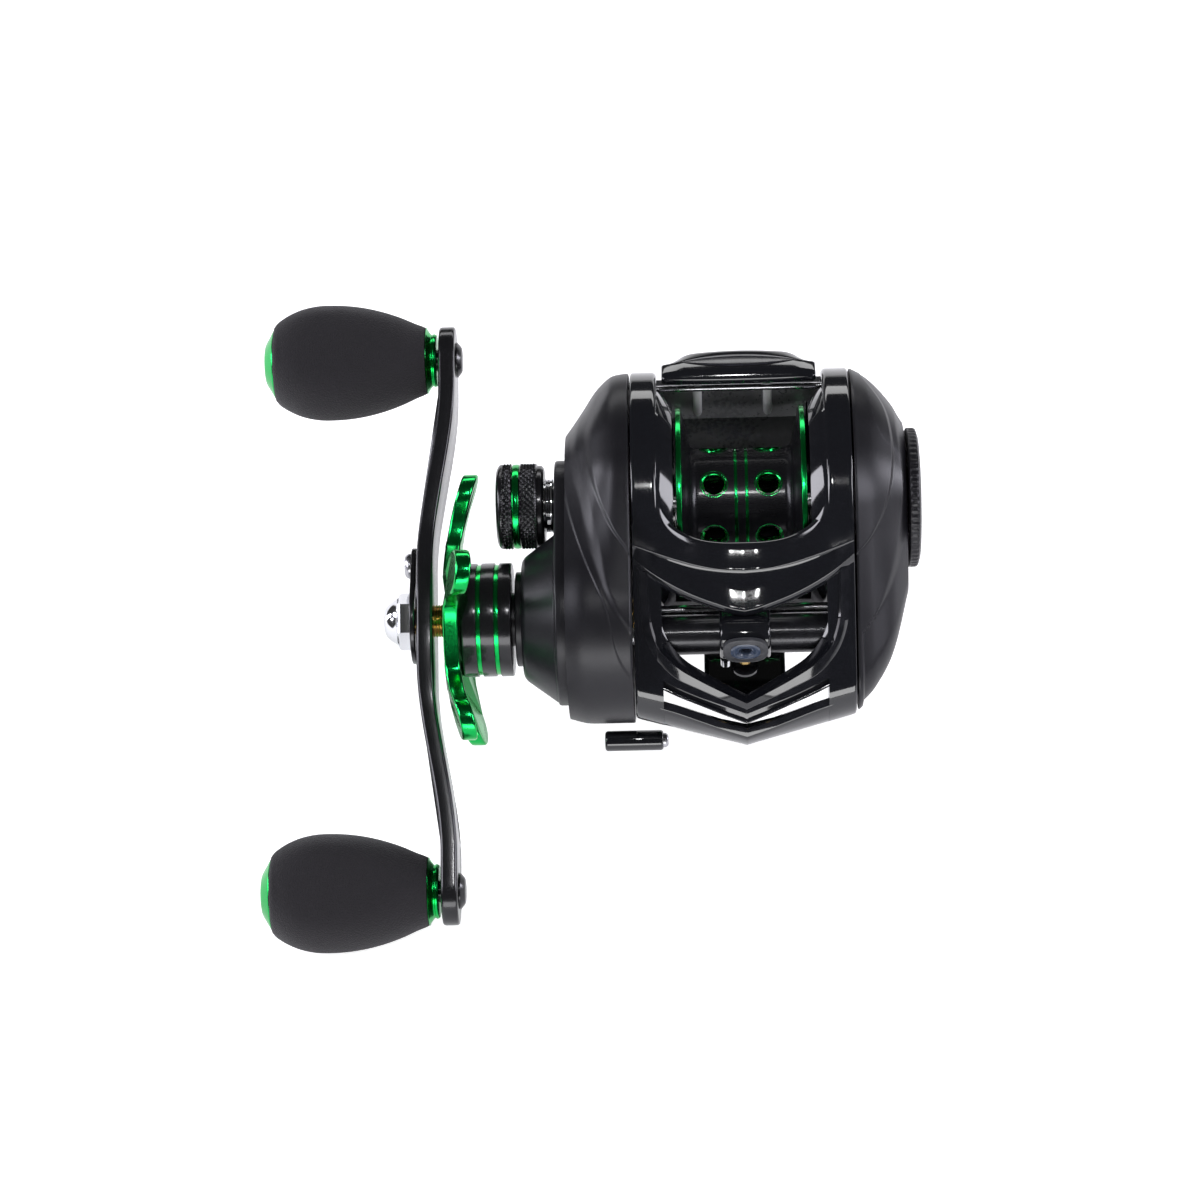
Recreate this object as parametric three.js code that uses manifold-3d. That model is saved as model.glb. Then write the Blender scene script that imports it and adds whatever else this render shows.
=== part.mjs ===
// A low-profile baitcasting reel, in millimetres, +Z up.
// The rod tip is towards -Y, the handle is on the -X side and the palm side is +X.
// The origin is the centre of the reel foot's underside.
import * as THREE from "three";
import { LoftGeometry } from "three/addons/geometries/LoftGeometry.js";
import { mergeVertices } from "three/addons/utils/BufferGeometryUtils.js";
import Module from "manifold-3d";

const wasm = await Module();
wasm.setup();

// ---------------------------------------------------------------- driving dimensions

const spoolAxisHeight = 22.5; // spool axis above the foot's underside
const frameHalfWidth = 19.3; // centre of the reel to the outside of a side plate
const plateThickness = 4.7;
const backRadius = 20; // the body's round back, about a point behind the spool axis
const backOffset = 4.5;
const shoulderRadius = 19.2; // the side plates' round about the spool axis
const hoodRadius = 15.9; // the hood's middle is this far from the spool axis
const noseReach = 34.5; // the nose's round, ahead of the spool axis at the reel's middle
const noseDrop = 13.8;
const noseRadius = 7.5;
const noseSweep = 4.5; // how far the nose falls back towards the side plates

const flangeRadius = 17;
const flangeHalfWidth = 11.4;
const drumRadius = 9.5;
const spoolShaftRadius = 1.25;

const gearModule = 0.5;
const driveTeeth = 72;
const pinionTeeth = 10;
const windDriveTeeth = 22; // the pair that turns the level-wind worm
const wormTeeth = 14;
const driveAngle = 27.3; // degrees below the horizontal, from the spool axis to the drive axis
const wormAngle = 150.8; // degrees, from the drive axis to the worm axis

const armHalfLength = 48.5; // drive axis to a knob's axis
const armThickness = 2.9;
const armWidth = 14.5;
const armTipWidth = 12;
const armSweep = 4.0; // how far the arm's tips come back towards the reel
const armLean = 24.5; // degrees the forward half of the arm hangs below the horizontal
const knobLength = 28.2;
const knobRadius = 10.5;

const starRadius = 26;
const starThickness = 2.8;
const hubRadius = 10.2;
const castKnobRadius = 7.6;
const dialRadius = 12.4;

const footWidth = 14.5;
const footHalfLength = 31;
const footTip = 0.9; // how thick the foot's ends are

const thumbTravel = 2.8;
const clutchTravel = 1.5;
const magnetTravel = 1.2;
const guideTravel = 9;

const running = 0.1; // radial gap of a shaft in its hole
const gap = 0.3; // gap between pieces that touch
const wall = 1.4; // covers
const coverDepths = [3.6, 6.0, 8.4]; // handle cover sections, outwards from its seam
const palmDepths = [3.4, 7.0, 9.4]; // palm cover sections, outwards from its seam

// ---------------------------------------------------------------- places worked out from them

const spoolToDrive = (gearModule * (driveTeeth + pinionTeeth)) / 2;
const driveToWorm = (gearModule * (windDriveTeeth + wormTeeth)) / 2;
const rad = THREE.MathUtils.degToRad;
const driveAxis = {
  y: -spoolToDrive * Math.cos(rad(driveAngle)),
  z: -spoolToDrive * Math.sin(rad(driveAngle)),
};
const wormAxis = {
  y: driveAxis.y + driveToWorm * Math.cos(rad(wormAngle)),
  z: driveAxis.z + driveToWorm * Math.sin(rad(wormAngle)),
};
const spoolAxis = { y: 0, z: 0 };
const plateInner = frameHalfWidth - plateThickness;
const spoolClearance = flangeRadius + 0.5;
const driveGearRadius = (gearModule * driveTeeth) / 2 + 0.8 * gearModule;
const gearboxRadius = driveGearRadius + 0.5;
const bulgeRadius = gearboxRadius + 1.0;

// Layers of the gearbox, outwards from the handle-side plate.
const gearPlateInner = -(frameHalfWidth + gap);
const gearPlateThickness = 1.3;
const gearPlateOuter = gearPlateInner - gearPlateThickness;
const windGearInner = gearPlateOuter - gap;
const windGearThickness = 1.1;
const driveGearInner = windGearInner - windGearThickness - gap;
const driveGearThickness = 2.3;
const driveGearOuter = driveGearInner - driveGearThickness;
const yokeGrooveInner = driveGearOuter - 1.0;
const yokeGrooveWidth = 0.9;
const yokeThickness = 0.6;
const yokeFace = yokeGrooveInner - (yokeGrooveWidth - yokeThickness) / 2;
const coverShoulder = yokeGrooveInner - 5.2; // where the cover's body ends and its ring begins
const ringFace = coverShoulder - 2.0;
const coneFace = ringFace - 6;
const coneRadius = 10.8;
const coneFoot = 15;

const starOuter = coneFace - 13.7;
const armInner = starOuter - 2.0;
const armOuter = armInner - armThickness;
const bossFace = ringFace - 1.6; // end of the tension boss's bright collar
const castKnobInner = bossFace - gap;
const castKnobLength = 8.6;
const castRingAt = castKnobInner - 5;

// ---------------------------------------------------------------- materials

const finish = (color, roughness, metalness) =>
  new THREE.MeshStandardMaterial({ color, roughness, metalness });
const finishes = {
  glossBlack: finish(0x0b0b0d, 0.15, 0.2),
  matteBlack: finish(0x1b1b1f, 0.6, 0.1),
  green: finish(0x08a83c, 0.25, 0.9),
  chrome: finish(0xc9ccd2, 0.15, 1.0),
  steel: finish(0x8d9096, 0.3, 1.0),
  brass: finish(0xb98b3c, 0.3, 1.0),
  foam: finish(0x222024, 0.95, 0.0),
  ceramic: finish(0x27313f, 0.2, 0.1),
  plastic: finish(0x3b3d42, 0.5, 0.0),
  carbon: finish(0x2a2b2e, 0.7, 0.0),
};

// ---------------------------------------------------------------- solids

/** A three.js geometry as a closed manifold-3d solid with its faces pointing out. */
function solid(geometry) {
  const flat = geometry.index ? geometry.toNonIndexed() : geometry;
  const bare = new THREE.BufferGeometry();
  bare.setAttribute("position", flat.getAttribute("position"));
  const merged = mergeVertices(bare, 1e-4);
  const corners = Array.from(merged.index.array);
  const build = (flip) => {
    const faces = [];
    for (let i = 0; i < corners.length; i += 3) {
      const [a, b, c] = corners.slice(i, i + 3);
      if (a !== b && b !== c && c !== a) faces.push(a, flip ? c : b, flip ? b : c);
    }
    const triVerts = new Uint32Array(faces);
    const vertProperties = merged.attributes.position.array;
    return new wasm.Manifold(new wasm.Mesh({ numProp: 3, vertProperties, triVerts }));
  };
  const made = build(false);
  return made.volume() < 0 ? build(true) : made;
}

const join = (first, ...rest) => rest.reduce((all, next) => all.add(next), first);
const cut = (first, ...rest) => rest.reduce((all, next) => all.subtract(next), first);

/** The largest of a solid's bodies, without the crumbs that a cut leaves. */
function largest(shape) {
  return shape.decompose().reduce((best, next) => (next.volume() > best.volume() ? next : best));
}

/** A named mesh from a solid, added to a group. */
function piece(group, name, shape, material) {
  const data = shape.getMesh();
  const geometry = new THREE.BufferGeometry();
  const positions = new Float32Array(data.numVert * 3);
  for (let i = 0; i < data.numVert; i++) {
    positions.set(data.vertProperties.subarray(i * data.numProp, i * data.numProp + 3), i * 3);
  }
  geometry.setAttribute("position", new THREE.BufferAttribute(positions, 3));
  geometry.setIndex(new THREE.BufferAttribute(data.triVerts, 1));
  geometry.computeVertexNormals();
  const mesh = new THREE.Mesh(geometry, material);
  mesh.name = name;
  group.add(mesh);
  return mesh;
}

/** A box between two corners. */
function box(x0, x1, y0, y1, z0, z1) {
  const geometry = new THREE.BoxGeometry(Math.abs(x1 - x0), Math.abs(y1 - y0), Math.abs(z1 - z0));
  return solid(geometry.translate((x0 + x1) / 2, (y0 + y1) / 2, (z0 + z1) / 2));
}

/** A shape drawn in the (y, z) plane, extruded along X. */
function plateX(shape, x0, x1, curveSegments = 10) {
  const depth = Math.abs(x1 - x0);
  const geometry = new THREE.ExtrudeGeometry(shape, { depth, bevelEnabled: false, curveSegments });
  const toRow = new THREE.Matrix4().makeBasis(
    new THREE.Vector3(0, 1, 0),
    new THREE.Vector3(0, 0, 1),
    new THREE.Vector3(1, 0, 0),
  );
  return solid(geometry.applyMatrix4(toRow).translate(Math.min(x0, x1), 0, 0));
}

/** A profile of [x, radius] points turned about an X axis through at. */
function turned(profile, at = spoolAxis, segments = 20) {
  const points = profile.map(([x, r]) => new THREE.Vector2(r, x));
  const geometry = new THREE.LatheGeometry(points, segments);
  const toRow = new THREE.Matrix4().makeBasis(
    new THREE.Vector3(0, 1, 0),
    new THREE.Vector3(1, 0, 0),
    new THREE.Vector3(0, 0, -1),
  );
  return solid(geometry.applyMatrix4(toRow).translate(0, at.y, at.z));
}

const rodX = (x0, x1, r, at = spoolAxis, segments = 18) =>
  turned([[x0, 0], [x0, r], [x1, r], [x1, 0]], at, segments);
const ringX = (x0, x1, inner, outer, at = spoolAxis, segments = 18) =>
  turned([[x0, inner], [x0, outer], [x1, outer], [x1, inner], [x0, inner]], at, segments);

/** An upright cylinder. */
function rodZ(x, y, z0, z1, r, segments = 16) {
  const geometry = new THREE.CylinderGeometry(r, r, z1 - z0, segments).rotateX(Math.PI / 2);
  return solid(geometry.translate(x, y, (z0 + z1) / 2));
}

/** A circle of the body's outline, in the (y, z) plane. */
const round = (y, z, r) => ({ y, z, r });

/** The outline wrapped round some circles, as points in order of the way the outline faces. */
function wrapped(circles, x, inset = 0, samples = 36) {
  return Array.from({ length: samples }, (_, i) => {
    const angle = (i / samples) * 2 * Math.PI;
    const facing = [Math.cos(angle), Math.sin(angle)];
    const reach = (c) => c.y * facing[0] + c.z * facing[1] + c.r - inset;
    const far = circles.reduce((best, c) => (reach(c) > reach(best) + 1e-9 ? c : best));
    const r = far.r - inset;
    return new THREE.Vector3(x, far.y + r * facing[0], far.z + r * facing[1]);
  });
}

/** A ring of points drawn together at its middle, which closes the end of a skin. */
function drawnIn(ring) {
  const middle = ring.reduce((sum, p) => sum.add(p), new THREE.Vector3()).divideScalar(ring.length);
  return ring.map(() => middle);
}

/** A solid skinned through wrapped outlines: each section is [x, circles]. */
function skinned(sections, inset = 0, samples = 36) {
  const rings = sections.map(([x, circles]) => wrapped(circles, x, inset, samples));
  return solid(new LoftGeometry([drawnIn(rings[0]), ...rings, drawnIn(rings[rings.length - 1])]));
}

/** A flat plate with a wrapped outline. */
const wrappedPlate = (circles, x0, x1, samples = 28) =>
  skinned([[x0, circles], [x1, circles]], 0, samples);

// ---------------------------------------------------------------- the body's outline

const hoodTilt = 40; // degrees: the hood's cuts are drawn on a plane that slopes this much
const hoodUp = new THREE.Vector3(0, Math.cos(rad(hoodTilt)), Math.sin(rad(hoodTilt)));
const hoodOut = new THREE.Vector3(0, -Math.sin(rad(hoodTilt)), Math.cos(rad(hoodTilt)));

/** A shape drawn on the hood's sloping plane (X across, u up the slope), cut square to it. */
function slopeCut(points, from, to) {
  const shape = new THREE.Shape(points.map(([x, u]) => new THREE.Vector2(x, u)));
  const geometry = new THREE.ExtrudeGeometry(shape, { depth: to - from, bevelEnabled: false });
  const toRow = new THREE.Matrix4().makeBasis(new THREE.Vector3(1, 0, 0), hoodUp, hoodOut);
  return solid(geometry.translate(0, 0, from).applyMatrix4(toRow));
}

const backRound = (inset = 0) => round(backOffset, 0, backRadius - inset);
const noseRound = (share) =>
  round(-noseReach + noseSweep * share, -noseDrop + 1.8 * share, noseRadius - 0.5 * share);
const shoulderRound = (r = shoulderRadius) => round(0, 0, r);
const gearRound = (r = bulgeRadius) => round(driveAxis.y, driveAxis.z, r);

const bodySections = [-1, -0.5, -0.16, 0.16, 0.5, 1].map((share) => [
  share * frameHalfWidth,
  [backRound(), noseRound(Math.abs(share)), shoulderRound()],
]);
const body = skinned(bodySections);

// The hood sinks between the side plates, lowest at the reel's middle.
const hoodSections = [-1, -0.76, -0.5, -0.16, 0.16, 0.5, 0.76, 1].map((share) => {
  const rise = THREE.MathUtils.smoothstep(Math.abs(share), 0.1, 0.8);
  const r = hoodRadius + (shoulderRadius - hoodRadius) * rise;
  return [share * frameHalfWidth, [shoulderRound(r), noseRound(Math.abs(share))]];
});
const hoodSkin = (inset) => skinned(hoodSections, inset);

// The hood is the strip of the body between the spool opening and the line window.
const hoodThickness = 1.1;
const windowHalf = plateInner - 0.3;
const windowTop = -19.8; // up-slope place of the hood's front point
const windowRise = 0.53; // how fast its front edge climbs towards the sides
const barTop = -33.2; // the chevron bar under the window
const barRise = 0.6;
const slotTop = -37.4; // the slot between the chevron bar and the lip
const slotBottom = -40.4;
const hoodFront = (half) => windowTop + windowRise * half;
const hoodStrip = (grow) => {
  const side = frameHalfWidth + 1;
  return slopeCut(
    [
      [0, windowTop - grow],
      [side, hoodFront(side) - grow],
      [side, grow],
      [-side, grow],
      [-side, hoodFront(side) - grow],
    ],
    2,
    40,
  );
};

/** The round-bottomed opening over the spool, in the hood's rear edge. */
function spoolOpening() {
  const points = [];
  const steps = 10;
  const depth = 7.2;
  for (let i = 0; i <= steps; i++) {
    const angle = Math.PI + (i / steps) * Math.PI;
    const across = Math.sign(Math.cos(angle)) * Math.abs(Math.cos(angle)) ** 0.75;
    points.push([across * plateInner, Math.sin(angle) * depth]);
  }
  points.push([plateInner, 40], [-plateInner, 40]);
  return slopeCut(points, -8, 40);
}

/** A chevron-shaped cut with its point downwards. */
function chevron(half, top, topRise, bottom, bottomRise, from, to) {
  return slopeCut(
    [
      [0, bottom],
      [half, bottom + bottomRise * half],
      [half, top + topRise * half],
      [0, top],
      [-half, top + topRise * half],
      [-half, bottom + bottomRise * half],
    ],
    from,
    to,
  );
}

// ---------------------------------------------------------------- bearings and bores

const pinionHeadRadius = 3.0;
const pinionTip = (gearModule * pinionTeeth) / 2 + 0.8 * gearModule;
const bearingBore = spoolShaftRadius + running;
const smallBearing = { inner: bearingBore, outer: 5, width: 2.4 };
const driveShaftRadius = 3.0;
const shaftBearing = { inner: driveShaftRadius + running, outer: 5.6, width: 2.3 };
const wormShaftRadius = 2.2;
const tubeOuter = 3.45;
const tubeInner = 2.75;
const guideRod = { y: wormAxis.y + 4.5, z: wormAxis.z + 1.35, r: 0.9 };
const eye = { y: wormAxis.y - 2.6, z: wormAxis.z + 3.4 };
const postRadius = 0.85;
const postSpread = 7;
const yokePosts = [1, -1].map((side) => ({
  y: -side * postSpread * Math.sin(rad(driveAngle)),
  z: side * postSpread * Math.cos(rad(driveAngle)),
}));

// The thumb bar's legs run in a slot behind the spool.
const thumbLegY = flangeRadius + 1.5;
const thumbLegRadius = 0.8;
const thumbSlotBack = thumbLegY + thumbLegRadius + 0.9;
const thumbCarrierTop = -1;
const thumbCarrierHeight = 2;
const thumbCarrierLow = thumbCarrierTop - thumbCarrierHeight - thumbTravel;
const thumbPin = { y: thumbLegY - 1.6, z: 11.6, r: 0.6 };

// ---------------------------------------------------------------- fixed pieces

function makeFrame() {
  const well = rodX(-plateInner, plateInner, spoolClearance, spoolAxis, 32);
  const wellBottom = thumbCarrierTop - thumbTravel - 3.4;
  const openTop = box(-plateInner, plateInner, -60, thumbSlotBack, wellBottom, 40);
  const [deckStart, farUp] = [14.2, 40];
  const overBack = slopeCut(
    [
      [-plateInner, deckStart],
      [plateInner, deckStart],
      [plateInner, farUp],
      [-plateInner, farUp],
    ],
    -12,
    40,
  );
  const hollowSections = bodySections.map(([x, [, nose]]) => [
    (x / frameHalfWidth) * plateInner,
    [round(-8, -6, 11), nose],
  ]);
  const noseHollow = skinned(hollowSections, 2.6);
  const backKeep = box(-plateInner, plateInner, -19.5, 40, -40, 40);
  const roof = hoodStrip(gap).subtract(hoodSkin(hoodThickness + gap));
  const lips = [-1, 1].map((side) =>
    turned(
      [
        [side * (flangeHalfWidth + 0.6), spoolClearance],
        [side * plateInner, spoolClearance + 2.6],
        [side * (plateInner + 0.5), spoolClearance + 2.6],
        [side * (plateInner + 0.5), spoolClearance],
        [side * (flangeHalfWidth + 0.6), spoolClearance],
      ],
      spoolAxis,
      32,
    ),
  );
  const lipRegion = join(
    box(-plateInner - 1, plateInner + 1, -14, thumbLegY - thumbLegRadius - 0.5, -10, 16.5),
    box(-plateInner - 1, plateInner + 1, -14, 8, -18, 0),
  );
  let shell = cut(body, openTop, overBack, well);
  shell = cut(shell, noseHollow.subtract(backKeep));
  shell = join(shell, ...lips.map((lip) => lip.intersect(body).intersect(lipRegion)));
  const bulgeOutline = [gearRound(), round(-8, -8, 9)];
  const bulge = wrappedPlate(bulgeOutline, -frameHalfWidth, -frameHalfWidth + 1.8, 36);
  shell = join(shell, bulge);
  const footBed = box(-8, 8, -40, 40, -30, -backRadius + 0.2);
  const windowCut = chevron(windowHalf, windowTop, windowRise, barTop, barRise, 4, 40);
  const slot = chevron(12.6, slotTop, 0.36, slotBottom, 0.42, -2, 40);
  const bores = [
    rodX(-30, -plateInner + 1, pinionHeadRadius + 0.3),
    rodX(-30, -frameHalfWidth + smallBearing.width + gap, smallBearing.outer + 0.05),
    rodX(plateInner - 1, 30, spoolClearance, spoolAxis, 32),
    rodX(-30, -frameHalfWidth + shaftBearing.width + gap, shaftBearing.outer + 0.05, driveAxis),
    rodX(-30, -plateInner + 1, wormShaftRadius + running, wormAxis),
    rodX(-plateInner - 1.2, plateInner + 1.2, tubeOuter + 0.05, wormAxis),
    rodX(-plateInner - 1.2, plateInner + 1.2, guideRod.r + 0.05, guideRod, 12),
    rodX(-plateInner - 1.2, plateInner + 1.2, thumbPin.r + 0.05, thumbPin, 12),
    box(
      -30,
      -plateInner + 1,
      thumbLegY - 1.2,
      thumbLegY + 1.2,
      thumbCarrierLow - 0.4,
      thumbCarrierTop + 0.4,
    ),
    ...footScrewPlaces.map((y) => rodZ(0, y, -40, -10, footScrewRadius + 0.05, 12)),
  ];
  const carriageWay = wrappedPlate(carriageOutline(gap), -plateInner, plateInner);
  return largest(cut(shell, roof, windowCut, slot, footBed, carriageWay, ...bores));
}

const footScrewRadius = 1.2;
const footScrewHead = 2.2;
const footScrewPlaces = [-9, 11];
const footTop = -backRadius + 0.2 - gap;
const footBottom = -spoolAxisHeight;

function makeHood() {
  const strip = hoodSkin(0).subtract(hoodSkin(hoodThickness)).intersect(hoodStrip(0));
  const well = rodX(-plateInner, frameHalfWidth + 1, spoolClearance, spoolAxis, 36);
  return largest(cut(strip, spoolOpening(), well));
}

function makeFoot() {
  const side = new THREE.Shape();
  side.moveTo(-footHalfLength, footBottom);
  side.lineTo(footHalfLength, footBottom);
  side.lineTo(footHalfLength, footBottom + footTip);
  side.lineTo(footHalfLength - 12, footTop);
  side.lineTo(-footHalfLength + 12, footTop);
  side.lineTo(-footHalfLength, footBottom + footTip);
  const slab = plateX(side, -footWidth / 2, footWidth / 2);
  const plan = new THREE.Shape();
  const r = footWidth / 2;
  plan.moveTo(-r, -footHalfLength + r);
  plan.absarc(0, -footHalfLength + r, r, Math.PI, 2 * Math.PI, false);
  plan.absarc(0, footHalfLength - r, r, 0, Math.PI, false);
  const options = { depth: 10, bevelEnabled: false, curveSegments: 12 };
  const outline = new THREE.ExtrudeGeometry(plan, options);
  const holes = footScrewPlaces.map((y) => {
    const headHole = rodZ(0, y, footBottom - 1, footBottom + 1.1, footScrewHead + 0.1, 16);
    return join(rodZ(0, y, -40, -10, footScrewRadius + 0.05, 12), headHole);
  });
  return cut(slab.intersect(solid(outline.translate(0, 0, footBottom - 2))), ...holes);
}

function footScrew(y) {
  const head = rodZ(0, y, footBottom + 0.2, footBottom + 0.9, footScrewHead, 16);
  return join(head, rodZ(0, y, footBottom + 0.8, footTop + 1.5, footScrewRadius, 12));
}

const noseRoundAt = (r) => round(-noseReach + noseSweep, -noseDrop + 1.8, r);

/** Sections of the handle-side cover, outwards from the seam. */
function coverSections(inset, seam) {
  const steps = [
    [seam, backRadius, backOffset, 7.0, bulgeRadius],
    [seam - coverDepths[0], backRadius - 0.8, backOffset - 0.1, 6.8, bulgeRadius],
    [seam - coverDepths[1], backRadius - 2.7, backOffset - 0.5, 6.4, bulgeRadius],
    [seam - coverDepths[2], backRadius - 5.6, backOffset - 1.3, 5.6, bulgeRadius],
    [coverShoulder + inset, backRadius - 8.8, backOffset - 2.5, 4.6, bulgeRadius - 0.8],
  ];
  return steps.map(([x, back, offset, nose, bulge]) => [
    x,
    [
      round(offset, 0, back),
      noseRoundAt(nose),
      gearRound(bulge),
      shoulderRound(back * (shoulderRadius / backRadius)),
    ],
  ]);
}

const clutchBore = 7.1;
const tensionBossRadius = 4.8;

function makeHandleCover() {
  const seam = -(frameHalfWidth + gap);
  const shell = skinned(coverSections(0, seam), 0, 40);
  const ringOutline = [round(0, 0, 8), gearRound(coneFoot + 0.5)];
  const ring = wrappedPlate(ringOutline, coverShoulder + 0.2, ringFace, 36);
  const cone = turned(
    [
      [ringFace + 0.2, 0],
      [ringFace + 0.2, coneFoot],
      [ringFace, coneFoot],
      [coneFace + 0.4, coneRadius],
      [coneFace, coneRadius - 0.4],
      [coneFace, 0],
    ],
    driveAxis,
    30,
  );
  const neck = rodX(coneFace + 0.1, coneFace - 1.2, 8.4, driveAxis, 26);
  const thinned = (c, overGears) =>
    round(c.y, c.z, overGears ? Math.min(c.r - 1.0, gearboxRadius) : c.r - wall);
  const hollowSections = coverSections(wall, seam + 0.1).map(([x, circles]) => [
    x,
    circles.map((c, place) => thinned(c, place === 2)),
  ]);
  const hollow = skinned(hollowSections, 0, 36);
  const ringInside = [round(0, 0, 6.6), gearRound(coneFoot - 1.6)];
  const ringHollow = wrappedPlate(ringInside, coverShoulder + 2, ringFace + wall, 28);
  return cut(
    join(shell, ring, cone, neck),
    hollow,
    ringHollow,
    rodX(0, coneFace - 5, clutchBore, driveAxis),
    rodX(0, ringFace - 5, tensionBossRadius - 0.6),
  );
}

function makeGearPlate() {
  const seat = [
    round(backOffset, 0, backRadius - wall - 1.6),
    round(-29, -9.5, 6),
    gearRound(gearboxRadius - gap),
  ];
  const plate = wrappedPlate(seat, gearPlateInner, gearPlateOuter, 44);
  const posts = yokePosts.map((post) =>
    rodX(gearPlateOuter + 0.2, yokeFace - 3.2, postRadius, post, 12),
  );
  return cut(
    join(plate, ...posts),
    rodX(0, -40, Math.max(pinionHeadRadius, pinionTip) + gap),
    rodX(0, -40, driveShaftRadius + 1.4, driveAxis),
    rodX(0, -40, wormShaftRadius + 0.2, wormAxis),
    box(0, -40, thumbLegY - 2.6, 30, thumbCarrierLow - 0.8, thumbCarrierTop + 0.8),
  );
}

/** Sections of the palm-side cover, outwards from the seam. */
function palmSections(inset) {
  const seam = frameHalfWidth + gap;
  const seamNose = noseRound(1);
  const steps = [
    [seam, backRadius, backOffset, seamNose.y, seamNose.z, seamNose.r],
    [seam + palmDepths[0], backRadius - 2.6, backOffset - 0.3, -28, -9.5, 5.6],
    [seam + palmDepths[1], backRadius - 5.8, backOffset - 1.5, -22.6, -7.4, 4.8],
    [seam + palmDepths[2] - inset, backRadius - 7.3, backOffset - 3.1, -15.5, -4, 3.4],
  ];
  return steps.map(([x, back, offset, y, z, nose]) => [
    x,
    [
      round(offset, 0, back - inset),
      round(y, z, nose - inset * 0.7),
      shoulderRound(back * (shoulderRadius / backRadius) - inset),
    ],
  ]);
}

const dialInner = frameHalfWidth + gap + palmDepths[2] + gap;
const dialFace = dialInner + 2.3;

function makePalmCover() {
  const shell = skinned(palmSections(0), 0, 40);
  const opened = palmSections(wall).map(([x, c], place) => [place === 0 ? x - 0.1 : x, c]);
  const hollow = skinned(opened, 0, 32);
  return cut(shell, hollow, rodX(20, 40, 5.4));
}

const baseInner = plateInner + gap;
const pegRadius = 0.95;
const pegPlaces = [60, 180, 300].map((angle) => ({
  y: 10 * Math.cos(rad(angle)),
  z: 10 * Math.sin(rad(angle)),
}));

function makeBrakeBase() {
  const rim = spoolClearance - gap;
  const profile = [
    [baseInner, 2.0],
    [baseInner, rim],
    [frameHalfWidth, rim],
    [frameHalfWidth, rim - 1.6],
    [baseInner + 1.6, rim - 1.6],
    [baseInner + 1.6, smallBearing.outer + 1.5],
    [baseInner + 5.4, smallBearing.outer + 1.5],
    [baseInner + 5.4, smallBearing.outer + 0.05],
    [baseInner + 1.6, smallBearing.outer + 0.05],
    [baseInner + 1.6, 2.0],
    [baseInner, 2.0],
  ];
  const pegHoles = pegPlaces.map((place) =>
    rodX(baseInner - 5, baseInner + 5, pegRadius + 0.15, place, 12),
  );
  return cut(turned(profile, spoolAxis, 24), ...pegHoles);
}

function makeTensionBoss() {
  return turned([
    [ringFace + 1.0, bearingBore + 1.9],
    [ringFace + 1.0, tensionBossRadius - 0.7],
    [ringFace - gap, tensionBossRadius - 0.7],
    [ringFace - gap, tensionBossRadius],
    [bossFace, tensionBossRadius],
    [bossFace, tensionBossRadius - 0.5],
    [bossFace - 6, tensionBossRadius - 0.5],
    [bossFace - 6, bearingBore + 1.9],
    [ringFace + 1.0, bearingBore + 1.9],
  ]);
}

function makeWormTube() {
  const half = plateInner + 1;
  const tube = ringX(-half, half, tubeInner, tubeOuter, wormAxis, 22);
  const slotHalf = guideTravel + 1.6;
  const { y, z } = wormAxis;
  return cut(tube, box(-slotHalf, slotHalf, y - 1.2, y + 1.2, z - 5, z));
}

const tabReach = bulgeRadius + 2.4;
const tabAngle = rad(44); // below the horizontal, seen from the drive axis
const tabCentre = round(
  driveAxis.y - tabReach * Math.cos(tabAngle),
  driveAxis.z - tabReach * Math.sin(tabAngle),
  1.9,
);
const tabInner = -frameHalfWidth + plateThickness;

function makeCoverTab() {
  const heel = round(tabCentre.y + 1.5, tabCentre.z - 1.6, 1.7);
  const arm = wrappedPlate([tabCentre, heel], -frameHalfWidth - 5.9, tabInner, 20);
  return join(arm, rodX(tabInner - 0.4, tabInner + 0.7, 0.95, tabCentre, 12));
}

// ---------------------------------------------------------------- gears

/** The outline of a spur gear with involute flanks; one tooth is centred on the angle turn. */
function gearShape(teeth, turn, backlash) {
  const pitch = (gearModule * teeth) / 2;
  const pressure = rad(25);
  const base = pitch * Math.cos(pressure);
  const tip = pitch + 0.8 * gearModule;
  const root = pitch - 1.05 * gearModule;
  const involute = (angle) => Math.tan(angle) - angle;
  const halfAt = (r) => {
    const atPitch = Math.PI / (2 * teeth) - backlash / (2 * pitch);
    return atPitch + involute(pressure) - involute(Math.acos(Math.min(1, base / r)));
  };
  const flankStart = Math.max(base, root);
  const radii = teeth > 12 ? [flankStart, tip] : [flankStart, (flankStart + tip) / 2, tip];
  const points = [];
  for (let i = 0; i < teeth; i++) {
    const middle = turn + (i / teeth) * 2 * Math.PI;
    const at = (r, angle) => points.push(new THREE.Vector2(r * Math.cos(angle), r * Math.sin(angle)));
    if (root < base) at(root, middle - halfAt(base));
    radii.forEach((r) => at(r, middle - halfAt(r)));
    [...radii].reverse().forEach((r) => at(r, middle + halfAt(r)));
    if (root < base) at(root, middle + halfAt(base));
  }
  return new THREE.Shape(points);
}

const gear = (teeth, turn, x0, x1, at, backlash = 0.06) =>
  plateX(gearShape(teeth, turn, backlash), x0, x1).translate(0, at.y, at.z);

const towardsSpool = rad(driveAngle); // from the drive axis
const towardsWorm = rad(wormAngle);

// ---------------------------------------------------------------- pieces that turn with the handle

const washerRadius = 11;
const washerPocket = 1.0;
const sleeveRadius = 4.6;
const shaftTipRadius = 2.3;
const shaftEnd = armOuter - 4.6;

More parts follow.
